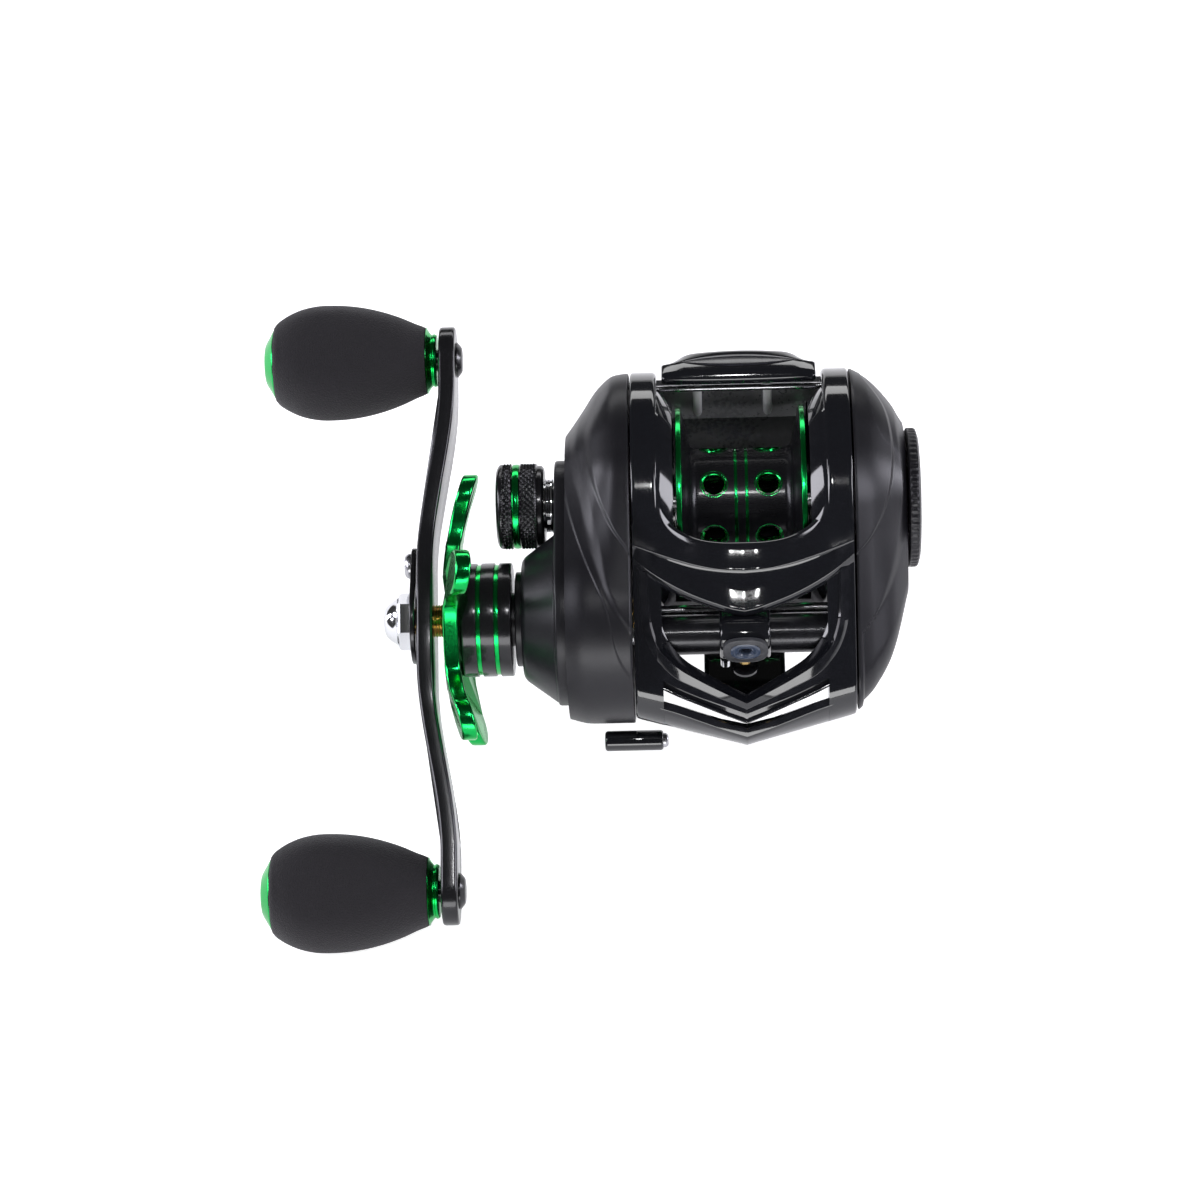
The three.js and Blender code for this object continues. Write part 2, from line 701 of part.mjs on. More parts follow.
function makeDriveShaft() {
  const star = starOuter + starThickness;
  return turned(
    [
      [-frameHalfWidth + 1.2, 0],
      [-frameHalfWidth + 1.2, driveShaftRadius],
      [star + 1, driveShaftRadius],
      [star + 1, 2.7],
      [armInner + 0.4, 2.7],
      [armInner + 0.4, shaftTipRadius],
      [shaftEnd, shaftTipRadius],
      [shaftEnd, 0],
    ],
    driveAxis,
  );
}

function makeDriveGear() {
  return cut(
    gear(driveTeeth, towardsSpool, driveGearInner, driveGearOuter, driveAxis),
    rodX(0, -40, driveShaftRadius + 0.3, driveAxis),
    rodX(driveGearOuter + washerPocket, -40, washerRadius + 0.3, driveAxis),
  );
}

/** The handle's own group: X along the drive axis, Z along the arm's forward half. */
const handleFrame = new THREE.Matrix4()
  .makeTranslation(0, driveAxis.y, driveAxis.z)
  .multiply(new THREE.Matrix4().makeRotationX(rad(90 + armLean)));

const inHandle = (shape) => shape.transform(handleFrame.toArray());

function makeArm() {
  // The bow of the arm, seen edge on: (z along the arm, x out from the reel).
  const bow = new THREE.Shape();
  const reach = armHalfLength + armTipWidth / 2;
  const swept = (t) => armSweep * THREE.MathUtils.smoothstep(Math.abs(t), 9, armHalfLength - 6);
  const steps = 22;
  const edge = (x) =>
    Array.from({ length: steps + 1 }, (_, i) => {
      const t = -reach + (2 * reach * i) / steps;
      return new THREE.Vector2(t, x + swept(t));
    });
  bow.setFromPoints([...edge(armOuter), ...edge(armInner).reverse()]);
  const strip = new THREE.ExtrudeGeometry(bow, { depth: 2 * armWidth, bevelEnabled: false });
  // (t, x, depth) becomes (z, x, y)
  const toArm = new THREE.Matrix4().makeBasis(
    new THREE.Vector3(0, 0, 1),
    new THREE.Vector3(1, 0, 0),
    new THREE.Vector3(0, 1, 0),
  );
  const bowed = solid(strip.applyMatrix4(toArm).translate(0, -armWidth, 0));
  const tip = armTipWidth / 2;
  const [from, to] = [armOuter - 5, armInner + 15];
  const plan = wrappedPlate([round(0, -armHalfLength, tip), round(0, armHalfLength, tip)], from, to, 40);
  const waistOutline = [round(0, -12, tip), round(0, 0, armWidth / 2), round(0, 12, tip)];
  const waist = wrappedPlate(waistOutline, from, to, 40);
  const knobHoles = [-1, 1].map((side) =>
    rodX(from, to, knobPostRadius + running, { y: 0, z: side * armHalfLength }, 16),
  );
  const shaftHole = rodX(from, to, shaftTipRadius + running);
  return inHandle(cut(bowed.intersect(join(plan, waist)), shaftHole, ...knobHoles));
}

const knobPostRadius = 1.9;
const armTipInner = armInner + armSweep;
const armTipOuter = armOuter + armSweep;
const knobInner = armTipOuter - 0.5;
const knobCollarLength = 2.6;
const foamInner = knobInner - knobCollarLength + 0.6;
const foamOuter = foamInner - knobLength;
const knobCapDepth = 1.0;
const knobCapRadius = 6;

const knobPost = (side) =>
  inHandle(
    turned(
      [
        [armTipInner + 1.2, 0],
        [armTipInner + 1.0, 2.6],
        [armTipInner + 0.2, 3.2],
        [armTipInner + 0.1, 3.2],
        [armTipInner + 0.1, knobPostRadius],
        [foamOuter + 4, knobPostRadius],
        [foamOuter + 4, 0],
      ],
      { y: 0, z: side * armHalfLength },
      16,
    ),
  );

/** Foam grip: radius against the share of its length from the arm's end. */
const gripRadius = (share) => {
  const swell = Math.sin(Math.PI * Math.min(1, 0.16 + 0.74 * share)) ** 0.8;
  return 2.6 + (knobRadius - 2.6) * swell;
};

function knobParts(side) {
  const at = { y: 0, z: side * armHalfLength };
  const bore = knobPostRadius + running;
  const steps = 7;
  const profile = [[foamInner, bore]];
  for (let i = 0; i <= steps; i++) {
    const share = i / steps;
    profile.push([foamInner - share * knobLength, gripRadius(share)]);
  }
  profile.push([foamOuter, bore], [foamInner, bore]);
  const collarHold = ringX(foamInner + 1, foamInner - 1.2, 0.5, 4.9 + gap, at);
  const capSeat = ringX(foamOuter + knobCapDepth, foamOuter - 1, 0.5, knobCapRadius + gap, at);
  const grip = cut(turned(profile, at, 20), collarHold, capSeat);
  const collar = turned(
    [
      [knobInner, bore],
      [knobInner, 4.4],
      [foamInner + gap, 6.1],
      [foamInner + gap, 4.9],
      [foamInner - 0.9, 4.9],
      [foamInner - 0.9, bore],
      [knobInner, bore],
    ],
    at,
  );
  const cap = turned(
    [
      [foamOuter + knobCapDepth - gap, 0],
      [foamOuter + knobCapDepth - gap, knobCapRadius],
      [foamOuter - 0.2, knobCapRadius],
      [foamOuter - 0.8, knobCapRadius * 0.6],
      [foamOuter - 1.0, 0],
    ],
    at,
  );
  return { grip: inHandle(grip), collar: inHandle(collar), cap: inHandle(cap) };
}

const nutAcross = 10.4;

function makeNut() {
  const seat = armOuter - gap;
  const hexFace = armOuter - 3.8;
  const hex = turned(
    [
      [seat, 0],
      [seat, nutAcross / 2],
      [hexFace + 0.6, nutAcross / 2],
      [hexFace, nutAcross / 2 - 0.8],
      [hexFace, 0],
    ],
    driveAxis,
    6,
  );
  const dome = turned(
    [
      [hexFace + 0.4, 0],
      [hexFace + 0.4, 3.6],
      [hexFace - 1.4, 3.4],
      [hexFace - 2.2, 2.4],
      [hexFace - 2.4, 0],
    ],
    driveAxis,
    20,
  );
  return cut(join(hex, dome), rodX(0, shaftEnd - 0.1, shaftTipRadius + running, driveAxis));
}

const keeperScrewPlace = 10.2; // along the arm's rear half
const nutHold = nutAcross / 2 + 0.35;

function makeKeeper() {
  const outer = armOuter - gap;
  const outline = [round(0, 0, 7.6), round(0, -keeperScrewPlace, 3.2)];
  const plate = wrappedPlate(outline, outer - 0.9, outer, 28);
  const screwHole = rodX(0, -80, 1.2, { y: 0, z: -keeperScrewPlace }, 12);
  return inHandle(cut(plate, rodX(0, -80, nutHold), screwHole));
}

function makeKeeperScrew() {
  const seat = armOuter - gap - 1.0;
  const profile = [
    [seat, 0],
    [seat, 2.3],
    [seat - 0.9, 2.0],
    [seat - 1.2, 0],
  ];
  return inHandle(turned(profile, { y: 0, z: -keeperScrewPlace }, 16));
}

/** The cupped spring washer that loads the drag stack. */
function makeBelleville() {
  const outer = driveGearOuter - 0.9;
  const profile = [
    [outer, 6.4],
    [outer - 0.6, 6.4],
    [outer - 1.6, 3.4],
    [outer - 1.0, 3.4],
    [outer, 6.4],
  ];
  return turned(profile, driveAxis);
}

// ---------------------------------------------------------------- the star drag

const starBore = driveShaftRadius + 0.15;
const starArms = 5;
const starTurn = -16; // degrees

function makeStar() {
  const shape = new THREE.Shape();
  const tipRadius = 3.9;
  const armReach = starRadius - tipRadius;
  const valley = 12.2;
  for (let i = 0; i < starArms; i++) {
    const middle = rad(50 + starTurn + (i * 360) / starArms);
    const side = new THREE.Vector2(-Math.sin(middle), Math.cos(middle));
    const tip = new THREE.Vector2(Math.cos(middle), Math.sin(middle)).multiplyScalar(armReach);
    const root = new THREE.Vector2(Math.cos(middle), Math.sin(middle)).multiplyScalar(valley);
    for (const step of [-1, 1]) {
      const foot = root.clone().addScaledVector(side, step * 4.2);
      const neck = root.clone().lerp(tip, 0.55).addScaledVector(side, step * 2.8);
      if (step < 0) {
        if (i === 0) shape.moveTo(foot.x, foot.y);
        else shape.lineTo(foot.x, foot.y);
        shape.lineTo(neck.x, neck.y);
        shape.absarc(tip.x, tip.y, tipRadius, middle - 2.2, middle + 2.2, false);
      } else {
        shape.lineTo(neck.x, neck.y);
        shape.lineTo(foot.x, foot.y);
      }
    }
  }
  const bar = plateX(shape, starOuter - 1, starOuter + starThickness + 6, 5);
  const flat = bar.translate(0, driveAxis.y, driveAxis.z);
  // The arms bend back towards the reel past the hub.
  const bend = 3.4;
  const dish = turned(
    [
      [starOuter, starBore],
      [starOuter, 12],
      [starOuter + bend * 0.55, 19],
      [starOuter + bend, starRadius + 1],
      [starOuter + bend + starThickness, starRadius + 1],
      [starOuter + bend * 0.55 + starThickness, 19],
      [starOuter + starThickness, 12],
      [starOuter + starThickness, starBore],
      [starOuter, starBore],
    ],
    driveAxis,
    18,
  );
  return cut(flat.intersect(dish), rodX(0, -80, starBore, driveAxis));
}

function makeStarHub() {
  const outer = starOuter + starThickness + gap;
  const inner = coneFace - 1.8;
  const length = inner - outer;
  const groove = 0.5;
  const profile = [
    [outer, starBore],
    [outer, hubRadius - 0.3],
    [outer + 0.3, hubRadius],
  ];
  for (const share of [0.34, 0.7]) {
    const x = outer + length * share;
    profile.push(
      [x - 0.35, hubRadius],
      [x - 0.35, hubRadius - groove],
      [x + 0.35, hubRadius - groove],
      [x + 0.35, hubRadius],
    );
  }
  profile.push(
    [inner - 0.3, hubRadius],
    [inner, hubRadius - 0.3],
    [inner, starBore],
    [outer, starBore],
  );
  return turned(profile, driveAxis, 22);
}

// ---------------------------------------------------------------- the spool and its pinion

function makeSpool() {
  const profile = [
    [-flangeHalfWidth, flangeRadius],
    [-flangeHalfWidth + 0.8, flangeRadius],
    [-8.6, drumRadius],
    [8.6, drumRadius],
    [flangeHalfWidth - 0.8, flangeRadius],
    [flangeHalfWidth, flangeRadius],
    [flangeHalfWidth, flangeRadius - 1.3],
    [9.2, drumRadius - 1.2],
    [1.2, drumRadius - 1.2],
    [1.2, spoolShaftRadius + 0.02],
    [-1.2, spoolShaftRadius + 0.02],
    [-1.2, drumRadius - 1.2],
    [-9.2, drumRadius - 1.2],
    [-flangeHalfWidth, flangeRadius - 1.3],
    [-flangeHalfWidth, flangeRadius],
  ];
  const drills = [];
  for (const row of [-4.8, 4.8]) {
    for (let i = 0; i < 6; i++) {
      const drill = new THREE.CylinderGeometry(1.8, 1.8, 6, 8).translate(0, drumRadius, 0);
      const angle = rad(spoolHoleTurn + i * 60);
      drills.push(solid(drill.rotateX(angle).translate(row, 0, 0)));
    }
  }
  return cut(turned(profile, spoolAxis, 24), ...drills);
}

const spoolHoleTurn = 50; // degrees
const crossPin = { x: -frameHalfWidth - 0.1, r: 0.45, half: 2.6 };
const shaftPalmEnd = baseInner + 4.6;
const shaftHandleEnd = castKnobInner - castKnobLength + 2.4;

function makeSpoolShaft() {
  const profile = [
    [shaftHandleEnd, 0],
    [shaftHandleEnd, 0.9],
    [shaftHandleEnd + 0.5, spoolShaftRadius],
    [shaftPalmEnd - 0.4, spoolShaftRadius],
    [shaftPalmEnd, 0.9],
    [shaftPalmEnd, 0],
  ];
  const shaft = turned(profile, spoolAxis, 20);
  return join(shaft, rodZ(crossPin.x, 0, -crossPin.half, crossPin.half, crossPin.r, 10));
}

const pinionBore = spoolShaftRadius + running;
const pinionHeadInner = -frameHalfWidth + 0.45;
const pinionHeadOuter = pinionHeadInner - 1.6;
const pinionTeethOuter = yokeGrooveInner + 0.6;

function makePinion() {
  const turn = towardsSpool + Math.PI + Math.PI / pinionTeeth;
  const teeth = gear(pinionTeeth, turn, pinionHeadOuter + 0.1, pinionTeethOuter - 0.1, spoolAxis);
  const hub = turned(
    [
      [pinionTeethOuter, 0],
      [pinionTeethOuter, 2.8],
      [yokeGrooveInner, 2.8],
      [yokeGrooveInner, 2.0],
      [yokeGrooveInner - yokeGrooveWidth, 2.0],
      [yokeGrooveInner - yokeGrooveWidth, 2.8],
      [yokeGrooveInner - yokeGrooveWidth - 0.7, 2.8],
      [yokeGrooveInner - yokeGrooveWidth - 0.7, 0],
    ],
    spoolAxis,
    24,
  );
  const head = rodX(pinionHeadOuter, pinionHeadInner, pinionHeadRadius);
  const slotWidth = crossPin.r + 0.12;
  const slot = box(crossPin.x - crossPin.r - 0.15, 0, -slotWidth, slotWidth, -5, 5);
  return cut(join(teeth, hub, head), rodX(0, -50, pinionBore, spoolAxis, 20), slot);
}

const yokeTabRadius = 1.2;

function makeYoke() {
  const ends = yokePosts.map((post) => round(post.y, post.z, 2.1));
  const tab = round(8.4, 0, yokeTabRadius);
  const blade = join(
    wrappedPlate([...ends, round(0, 0, 4.4)], yokeFace, yokeFace - yokeThickness, 32),
    wrappedPlate([round(0, 0, 3.6), tab], yokeFace, yokeFace - yokeThickness, 24),
  );
  const mouth = box(0, -60, -12, 0, -2.15, 2.15).rotate([driveAngle, 0, 0]);
  return cut(
    blade,
    rodX(0, -60, 2.15),
    mouth,
    ...yokePosts.map((post) => rodX(0, -60, postRadius + running, post, 16)),
  );
}

/** A spring round a yoke post, at the length that the drawn-out yoke leaves it. */
function makeSpring(post) {
  const turns = 2.5;
  const length = 0.9;
  const wire = 0.16;
  const start = yokeFace - yokeThickness - clutchTravel - 0.25 - wire;
  class Coil extends THREE.Curve {
    getPoint(t, target = new THREE.Vector3()) {
      const angle = t * turns * 2 * Math.PI;
      const r = postRadius + 0.45;
      const [y, z] = [post.y + r * Math.cos(angle), post.z + r * Math.sin(angle)];
      return target.set(start - t * length, y, z);
    }
  }
  const section = new THREE.Shape();
  section.absarc(0, 0, wire, 0, 2 * Math.PI, false);
  const options = { steps: 18, extrudePath: new Coil(), curveSegments: 2, bevelEnabled: false };
  return solid(new THREE.ExtrudeGeometry(section, options));
}

// ---------------------------------------------------------------- thumb bar and clutch cam

const thumbHalf = 13.7;

function makeThumbBar() {
  const side = new THREE.Shape();
  side.moveTo(14.4, 15.4);
  side.lineTo(14.2, 16.8);
  side.quadraticCurveTo(14.6, 17.6, 15.6, 17.6);
  side.quadraticCurveTo(19.4, 17.3, 22.2, 15.8);
  side.lineTo(23.0, 14.6);
  side.lineTo(22.4, 13.6);
  side.lineTo(20.4, 13.8);
  side.lineTo(18.2, 15.2);
  const slab = plateX(side, -thumbHalf, thumbHalf, 5);
  const plan = new THREE.Shape();
  plan.moveTo(-thumbHalf, 14.0);
  plan.quadraticCurveTo(0, 14.0, thumbHalf, 14.0);
  plan.lineTo(thumbHalf, 19.4);
  plan.quadraticCurveTo(thumbHalf - 1.4, 22.2, thumbHalf - 5, 22.7);
  plan.quadraticCurveTo(0, 23.5, -thumbHalf + 5, 22.7);
  plan.quadraticCurveTo(-thumbHalf + 1.4, 22.2, -thumbHalf, 19.4);
  const options = { depth: 20, bevelEnabled: false, curveSegments: 4 };
  const outline = solid(new THREE.ExtrudeGeometry(plan, options).translate(0, 0, 5));
  const legHoles = thumbLegs.map((x) => rodZ(x, thumbLegY, 5, 16, thumbLegRadius + running, 14));
  return cut(slab.intersect(outline), lensPad(gap + 0.05), ...legHoles);
}

const thumbLegs = [-7.4, 5.2];

/** The lens-shaped pad on the thumb bar's top, grown by some margin for its recess. */
function lensPad(margin) {
  const half = 10.5 + margin;
  const depth = 2.1 + margin;
  const shape = new THREE.Shape();
  shape.moveTo(-half, 0);
  shape.quadraticCurveTo(0, -2 * depth, half, 0);
  shape.quadraticCurveTo(0, 2 * depth, -half, 0);
  const options = { depth: 4, bevelEnabled: false, curveSegments: 10 };
  const geometry = new THREE.ExtrudeGeometry(shape, options);
  return solid(geometry.rotateX(rad(-10)).translate(0, 18.3, 16.7));
}

function makeThumbPad() {
  const underTop = [
    [14, 10],
    [14, 17.3],
    [15.8, 17.35],
    [19.4, 17.05],
    [23, 15.6],
    [23, 10],
  ];
  const shape = new THREE.Shape(underTop.map(([y, z]) => new THREE.Vector2(y, z)));
  const lens = lensPad(0).intersect(box(-20, 20, 10, 30, 16.2, 40));
  return lens.translate(0, 0, gap).intersect(plateX(shape, -20, 20));
}

function makeThumbCarrier() {
  const bottom = thumbCarrierTop - thumbCarrierHeight;
  const barEnd = camOuter + 0.3;
  const [front, back] = [thumbLegY - 0.8, thumbLegY + 0.8];
  const bar = box(barEnd, thumbHalf - 0.4, front, back, bottom, thumbCarrierTop);
  const legs = thumbLegs.map((x) =>
    rodZ(x, thumbLegY, thumbCarrierTop - 0.5, 15.6, thumbLegRadius, 14),
  );
  return join(bar, ...legs);
}

const camInner = gearPlateOuter - 0.5;
const camOuter = camInner - 1.2;

/** The cam rides down with the thumb bar, and its ramp pushes the yoke off the spool. */
function makeClutchCam() {
  const bottom = thumbCarrierTop - thumbCarrierHeight - 0.4;
  const rampHeight = thumbTravel + 0.4;
  const top = yokeTabRadius + rampHeight;
  const slab = box(camInner, camOuter, 6.6, thumbLegY - 0.8 - gap, bottom, top);
  const rest = yokeFace + 0.22;
  const slope = clutchTravel / thumbTravel;
  const outline = [
    [camOuter + 0.2, -1.6],
    [rest, -1.6],
    [rest, yokeTabRadius],
    [rest - slope * rampHeight, top],
    [camOuter + 0.2, top],
  ];
  const shape = new THREE.Shape(outline.map(([x, z]) => new THREE.Vector2(x, z)));
  const geometry = new THREE.ExtrudeGeometry(shape, { depth: 2.6, bevelEnabled: false });
  // (x, z, depth) stands up as (x, y, z)
  const ramp = solid(geometry.rotateX(Math.PI / 2).translate(0, 9.4, 0));
  return join(slab, ramp);
}

// ---------------------------------------------------------------- level wind

const wormShaftOuterEnd = windGearInner - windGearThickness + 0.15;

function makeWormShaft() {
  const profile = [
    [wormShaftOuterEnd, 0],
    [wormShaftOuterEnd, 1.5],
    [-plateInner - 0.6, 1.5],
    [-plateInner - 0.6, wormShaftRadius],
  ];
  const grooves = 5;
  const span = 2 * (guideTravel + 1.2);
  const floor = wormShaftRadius - 0.55;
  for (let i = 0; i < grooves; i++) {
    const x = -span / 2 + (i * span) / (grooves - 1);
    profile.push([x - 0.55, wormShaftRadius], [x - 0.25, floor]);
    profile.push([x + 0.25, floor], [x + 0.55, wormShaftRadius]);
  }
  profile.push([plateInner + 0.6, wormShaftRadius], [plateInner + 0.6, 0]);
  return turned(profile, wormAxis, 14);
}

const guideHalf = 4.45;
const eyeAcross = 1.35;
const insertRadius = 2.35;
const insertLength = 2.7;
const insertStretch = 1.1; // the insert is this much taller than it is wide

/** The line guide's outline, seen from the side, grown by some margin. */
const carriageOutline = (margin = 0) => [
  round(wormAxis.y, wormAxis.z, 4.4 + margin),
  round(guideRod.y, guideRod.z, guideRod.r + 0.45 + margin),
  round(eye.y, eye.z, insertRadius * insertStretch + 0.25 + margin),
];

function makeLineGuide() {
  const block = wrappedPlate(carriageOutline(), -guideHalf, guideHalf, 28);
  const stem = rodZ(0, wormAxis.y, wormAxis.z - 8.4, wormAxis.z - 3, 2.5, 20);
  const across = new THREE.CylinderGeometry(insertRadius + 0.05, insertRadius + 0.05, 20, 20);
  const eyeBore = solid(across.translate(0, eye.y, 0).scale(1, 1, insertStretch).translate(0, 0, eye.z));
  return cut(
    join(block, stem),
    rodX(-10, 10, tubeOuter + running, wormAxis, 22),
    rodX(-10, 10, guideRod.r + running, guideRod, 16),
    eyeBore.intersect(box(-5, 5, -60, -20, eye.z - 10, 30)),
    rodZ(0, wormAxis.y, wormAxis.z - 10, wormAxis.z, pawlRadius + 0.08, 16),
  );
}

const pawlRadius = 1.3;

function makeInsert() {
  const outer = new THREE.CylinderGeometry(insertRadius, insertRadius, insertLength, 24);
  const hole = new THREE.CylinderGeometry(eyeAcross, eyeAcross, 10, 20);
  const middle = wormAxis.y - tubeOuter - gap - insertLength / 2;
  const grow = (geometry) => solid(geometry.scale(1, 1, insertStretch).translate(0, middle, eye.z));
  return grow(outer).subtract(grow(hole));
}

function makePawl() {
  const { y, z } = wormAxis;
  const pin = rodZ(0, y, z - 7.4, z - wormShaftRadius - 0.15, pawlRadius - 0.1, 14);
  return cut(pin, rodX(-5, 5, wormShaftRadius + 0.15, wormAxis, 20));
}

const makePawlCap = () => rodZ(0, wormAxis.y, wormAxis.z - 9.6, wormAxis.z - 8.4 - gap, 2.4, 20);

// ---------------------------------------------------------------- knob, dial and magnets

function makeCastKnob() {
  const end = castKnobInner - castKnobLength;
  const bore = tensionBossRadius - 0.5 + 0.15;
  const ringAt = castRingAt;
  const r = castKnobRadius;
  return turned(
    [
      [castKnobInner, bore],
      [castKnobInner, r - 0.9],
      [castKnobInner - 0.3, r - 0.6],
      [castKnobInner - 1.2, r - 0.6],
      [castKnobInner - 1.3, r],
      [ringAt + 0.8, r],
      [ringAt + 0.8, r - 1.1],
      [ringAt - 0.8, r - 1.1],
      [ringAt - 0.8, r],
      [end + 0.9, r],
      [end + 0.2, r - 0.8],
      [end, r - 1.8],
      [end, 0],
      [end + 1.5, 0],
      [end + 1.5, bore],
      [castKnobInner, bore],
    ],
    spoolAxis,
    24,
  );
}

function makeCastRing() {
  const [inner, outer] = [castKnobRadius - 0.8, castKnobRadius - 0.15];
  return ringX(castRingAt - 0.5, castRingAt + 0.5, inner, outer, spoolAxis, 24);
}

function makeDial() {
  const disc = turned(
    [
      [dialInner, 0],
      [dialInner, dialRadius - 0.6],
      [dialInner + 0.4, dialRadius],
      [dialFace - 0.7, dialRadius],
      [dialFace, dialRadius - 1.2],
      [dialFace, 0],
    ],
    spoolAxis,
    32,
  );
  return join(disc, rodX(shaftPalmEnd + 3.2, dialInner + 0.1, 4.6));
}

function makeMagnets() {
  const inner = flangeHalfWidth + 0.5 + magnetTravel;
  const plate = ringX(inner, baseInner - gap, 5.5, 13.2, spoolAxis, 24);
  const pegs = pegPlaces.map((place) => rodX(baseInner - 0.5, baseInner + 3.2, pegRadius, place, 12));
  return join(plate, ...pegs);
}

// ---------------------------------------------------------------- the assembly

const reel = new THREE.Group();
reel.position.z = spoolAxisHeight;

/** The frame, covers and everything fixed to them. */
function fixedPieces() {
  piece(reel, "frame", makeFrame(), finishes.glossBlack);
  piece(reel, "front_hood", makeHood(), finishes.glossBlack);
  piece(reel, "reel_foot", makeFoot(), finishes.glossBlack);
  footScrewPlaces.forEach((y) => {
    piece(reel, y < 0 ? "foot_screw_front" : "foot_screw_rear", footScrew(y), finishes.steel);
  });
  piece(reel, "handle_side_cover", makeHandleCover(), finishes.matteBlack);
  piece(reel, "gear_plate", makeGearPlate(), finishes.plastic);
  piece(reel, "palm_side_cover", makePalmCover(), finishes.matteBlack);
  piece(reel, "brake_base", makeBrakeBase(), finishes.plastic);
  piece(reel, "tension_boss", makeTensionBoss(), finishes.chrome);
  piece(reel, "worm_tube", makeWormTube(), finishes.plastic);
  piece(reel, "cover_tab", makeCoverTab(), finishes.glossBlack);
  const crossRod = (at, segments) => rodX(-plateInner - 1, plateInner + 1, at.r, at, segments);
  piece(reel, "guide_rod", crossRod(guideRod, 16), finishes.chrome);
  piece(reel, "thumb_guide_pin", crossRod(thumbPin, 12), finishes.steel);
  yokePosts.forEach((post) => {
    const name = post.z > 0 ? "yoke_spring_upper" : "yoke_spring_lower";
    piece(reel, name, makeSpring(post), finishes.steel);
  });
}

/** The bearings, and the one-way clutch on the drive shaft. */
function bearings() {
  const bearing = (name, x0, x1, inner, outer, at) =>
    piece(reel, name, ringX(x0, x1, inner, outer, at), finishes.steel);
  const wide = smallBearing.outer;
  const seat = -frameHalfWidth + gap;
  const pinionSide = -frameHalfWidth + smallBearing.width;
  const shaftSide = -frameHalfWidth + shaftBearing.width;
  bearing("spool_bearing_palm", baseInner + 1.9, baseInner + 4.2, bearingBore, wide);
  bearing("pinion_bearing", seat + 0.45, pinionSide, bearingBore, wide);
  bearing("spool_bearing_handle", bossFace - 5.4, bossFace - 3.2, bearingBore, bearingBore + 1.85);
  bearing("shaft_bearing", seat, shaftSide, shaftBearing.inner, shaftBearing.outer, driveAxis);
  const [inside, outside] = [sleeveRadius + 0.15, clutchBore - 0.05];
  bearing("roller_clutch", coneFace + 0.8, coneFace + 7, inside, outside, driveAxis);
}

/** The drive shaft with its gears and drag washers. */
function driveTrain() {
  const shaftHole = driveShaftRadius + gap;
  const face = driveGearOuter;
  const onShaft = (name, x0, x1, inner, outer, material) =>
    piece(reel, name, ringX(x0, x1, inner, outer, driveAxis), material);
  const windGearOuter = windGearInner - windGearThickness;
  const driver = gear(windDriveTeeth, towardsWorm, windGearInner, windGearOuter, driveAxis);
  const meshed = towardsWorm + Math.PI + Math.PI / wormTeeth;
  const driven = gear(wormTeeth, meshed, windGearInner, windGearOuter, wormAxis);
  piece(reel, "drive_shaft", makeDriveShaft(), finishes.brass);
  piece(reel, "drive_gear", makeDriveGear(), finishes.brass);
  piece(reel, "level_wind_drive_gear", cut(driver, rodX(0, -40, shaftHole, driveAxis)), finishes.steel);
  piece(reel, "worm_gear", cut(driven, rodX(0, -40, 1.6, wormAxis)), finishes.plastic);
  onShaft("drag_washer", face + 0.15, face + 0.8, shaftHole + 0.1, washerRadius, finishes.carbon);
  onShaft("key_washer", face - 0.6, face - 0.15, shaftHole + 0.1, washerRadius - 0.4, finishes.steel);
  piece(reel, "belleville_washer", makeBelleville(), finishes.steel);
  const sleeveHole = driveShaftRadius + running;
  onShaft("clutch_sleeve", coneFace - 1.6, face - 2.8, sleeveHole, sleeveRadius, finishes.steel);
}

/** The handle, its knobs and the star drag. */
function handlePieces() {
  piece(reel, "handle_arm", makeArm(), finishes.glossBlack);
  piece(reel, "handle_nut", makeNut(), finishes.chrome);
  piece(reel, "keeper_plate", makeKeeper(), finishes.glossBlack);
  piece(reel, "keeper_screw", makeKeeperScrew(), finishes.chrome);
  piece(reel, "drag_star", makeStar(), finishes.green);
  piece(reel, "star_hub", makeStarHub(), finishes.glossBlack);
  const ends = { front: 1, rear: -1 };
  for (const [end, side] of Object.entries(ends)) {
    const knob = knobParts(side);
    piece(reel, "knob_post_" + end, knobPost(side), finishes.steel);
    piece(reel, "knob_grip_" + end, knob.grip, finishes.foam);
    piece(reel, "knob_collar_" + end, knob.collar, finishes.green);
    piece(reel, "knob_cap_" + end, knob.cap, finishes.green);
  }
}

/** Every other piece that moves. */
function movingPieces() {
  piece(reel, "spool", makeSpool(), finishes.glossBlack);
  piece(reel, "spool_shaft", makeSpoolShaft(), finishes.steel);
  piece(reel, "pinion_gear", makePinion(), finishes.brass);
  piece(reel, "clutch_yoke", makeYoke(), finishes.plastic);
  piece(reel, "thumb_bar", makeThumbBar(), finishes.glossBlack);
  piece(reel, "thumb_bar_pad", makeThumbPad(), finishes.matteBlack);
  piece(reel, "thumb_carrier", makeThumbCarrier(), finishes.plastic);
  piece(reel, "clutch_cam", makeClutchCam(), finishes.plastic);
  piece(reel, "worm_shaft", makeWormShaft(), finishes.steel);
  piece(reel, "line_guide", makeLineGuide(), finishes.glossBlack);
  piece(reel, "line_guide_insert", makeInsert(), finishes.ceramic);
  piece(reel, "level_wind_pawl", makePawl(), finishes.brass);
  piece(reel, "pawl_cap", makePawlCap(), finishes.glossBlack);
  piece(reel, "cast_control_knob", makeCastKnob(), finishes.glossBlack);
  piece(reel, "cast_control_ring", makeCastRing(), finishes.green);
  piece(reel, "brake_dial", makeDial(), finishes.matteBlack);
  piece(reel, "magnet_carrier", makeMagnets(), finishes.plastic);
}

fixedPieces();
bearings();
driveTrain();
handlePieces();
movingPieces();

export default reel;
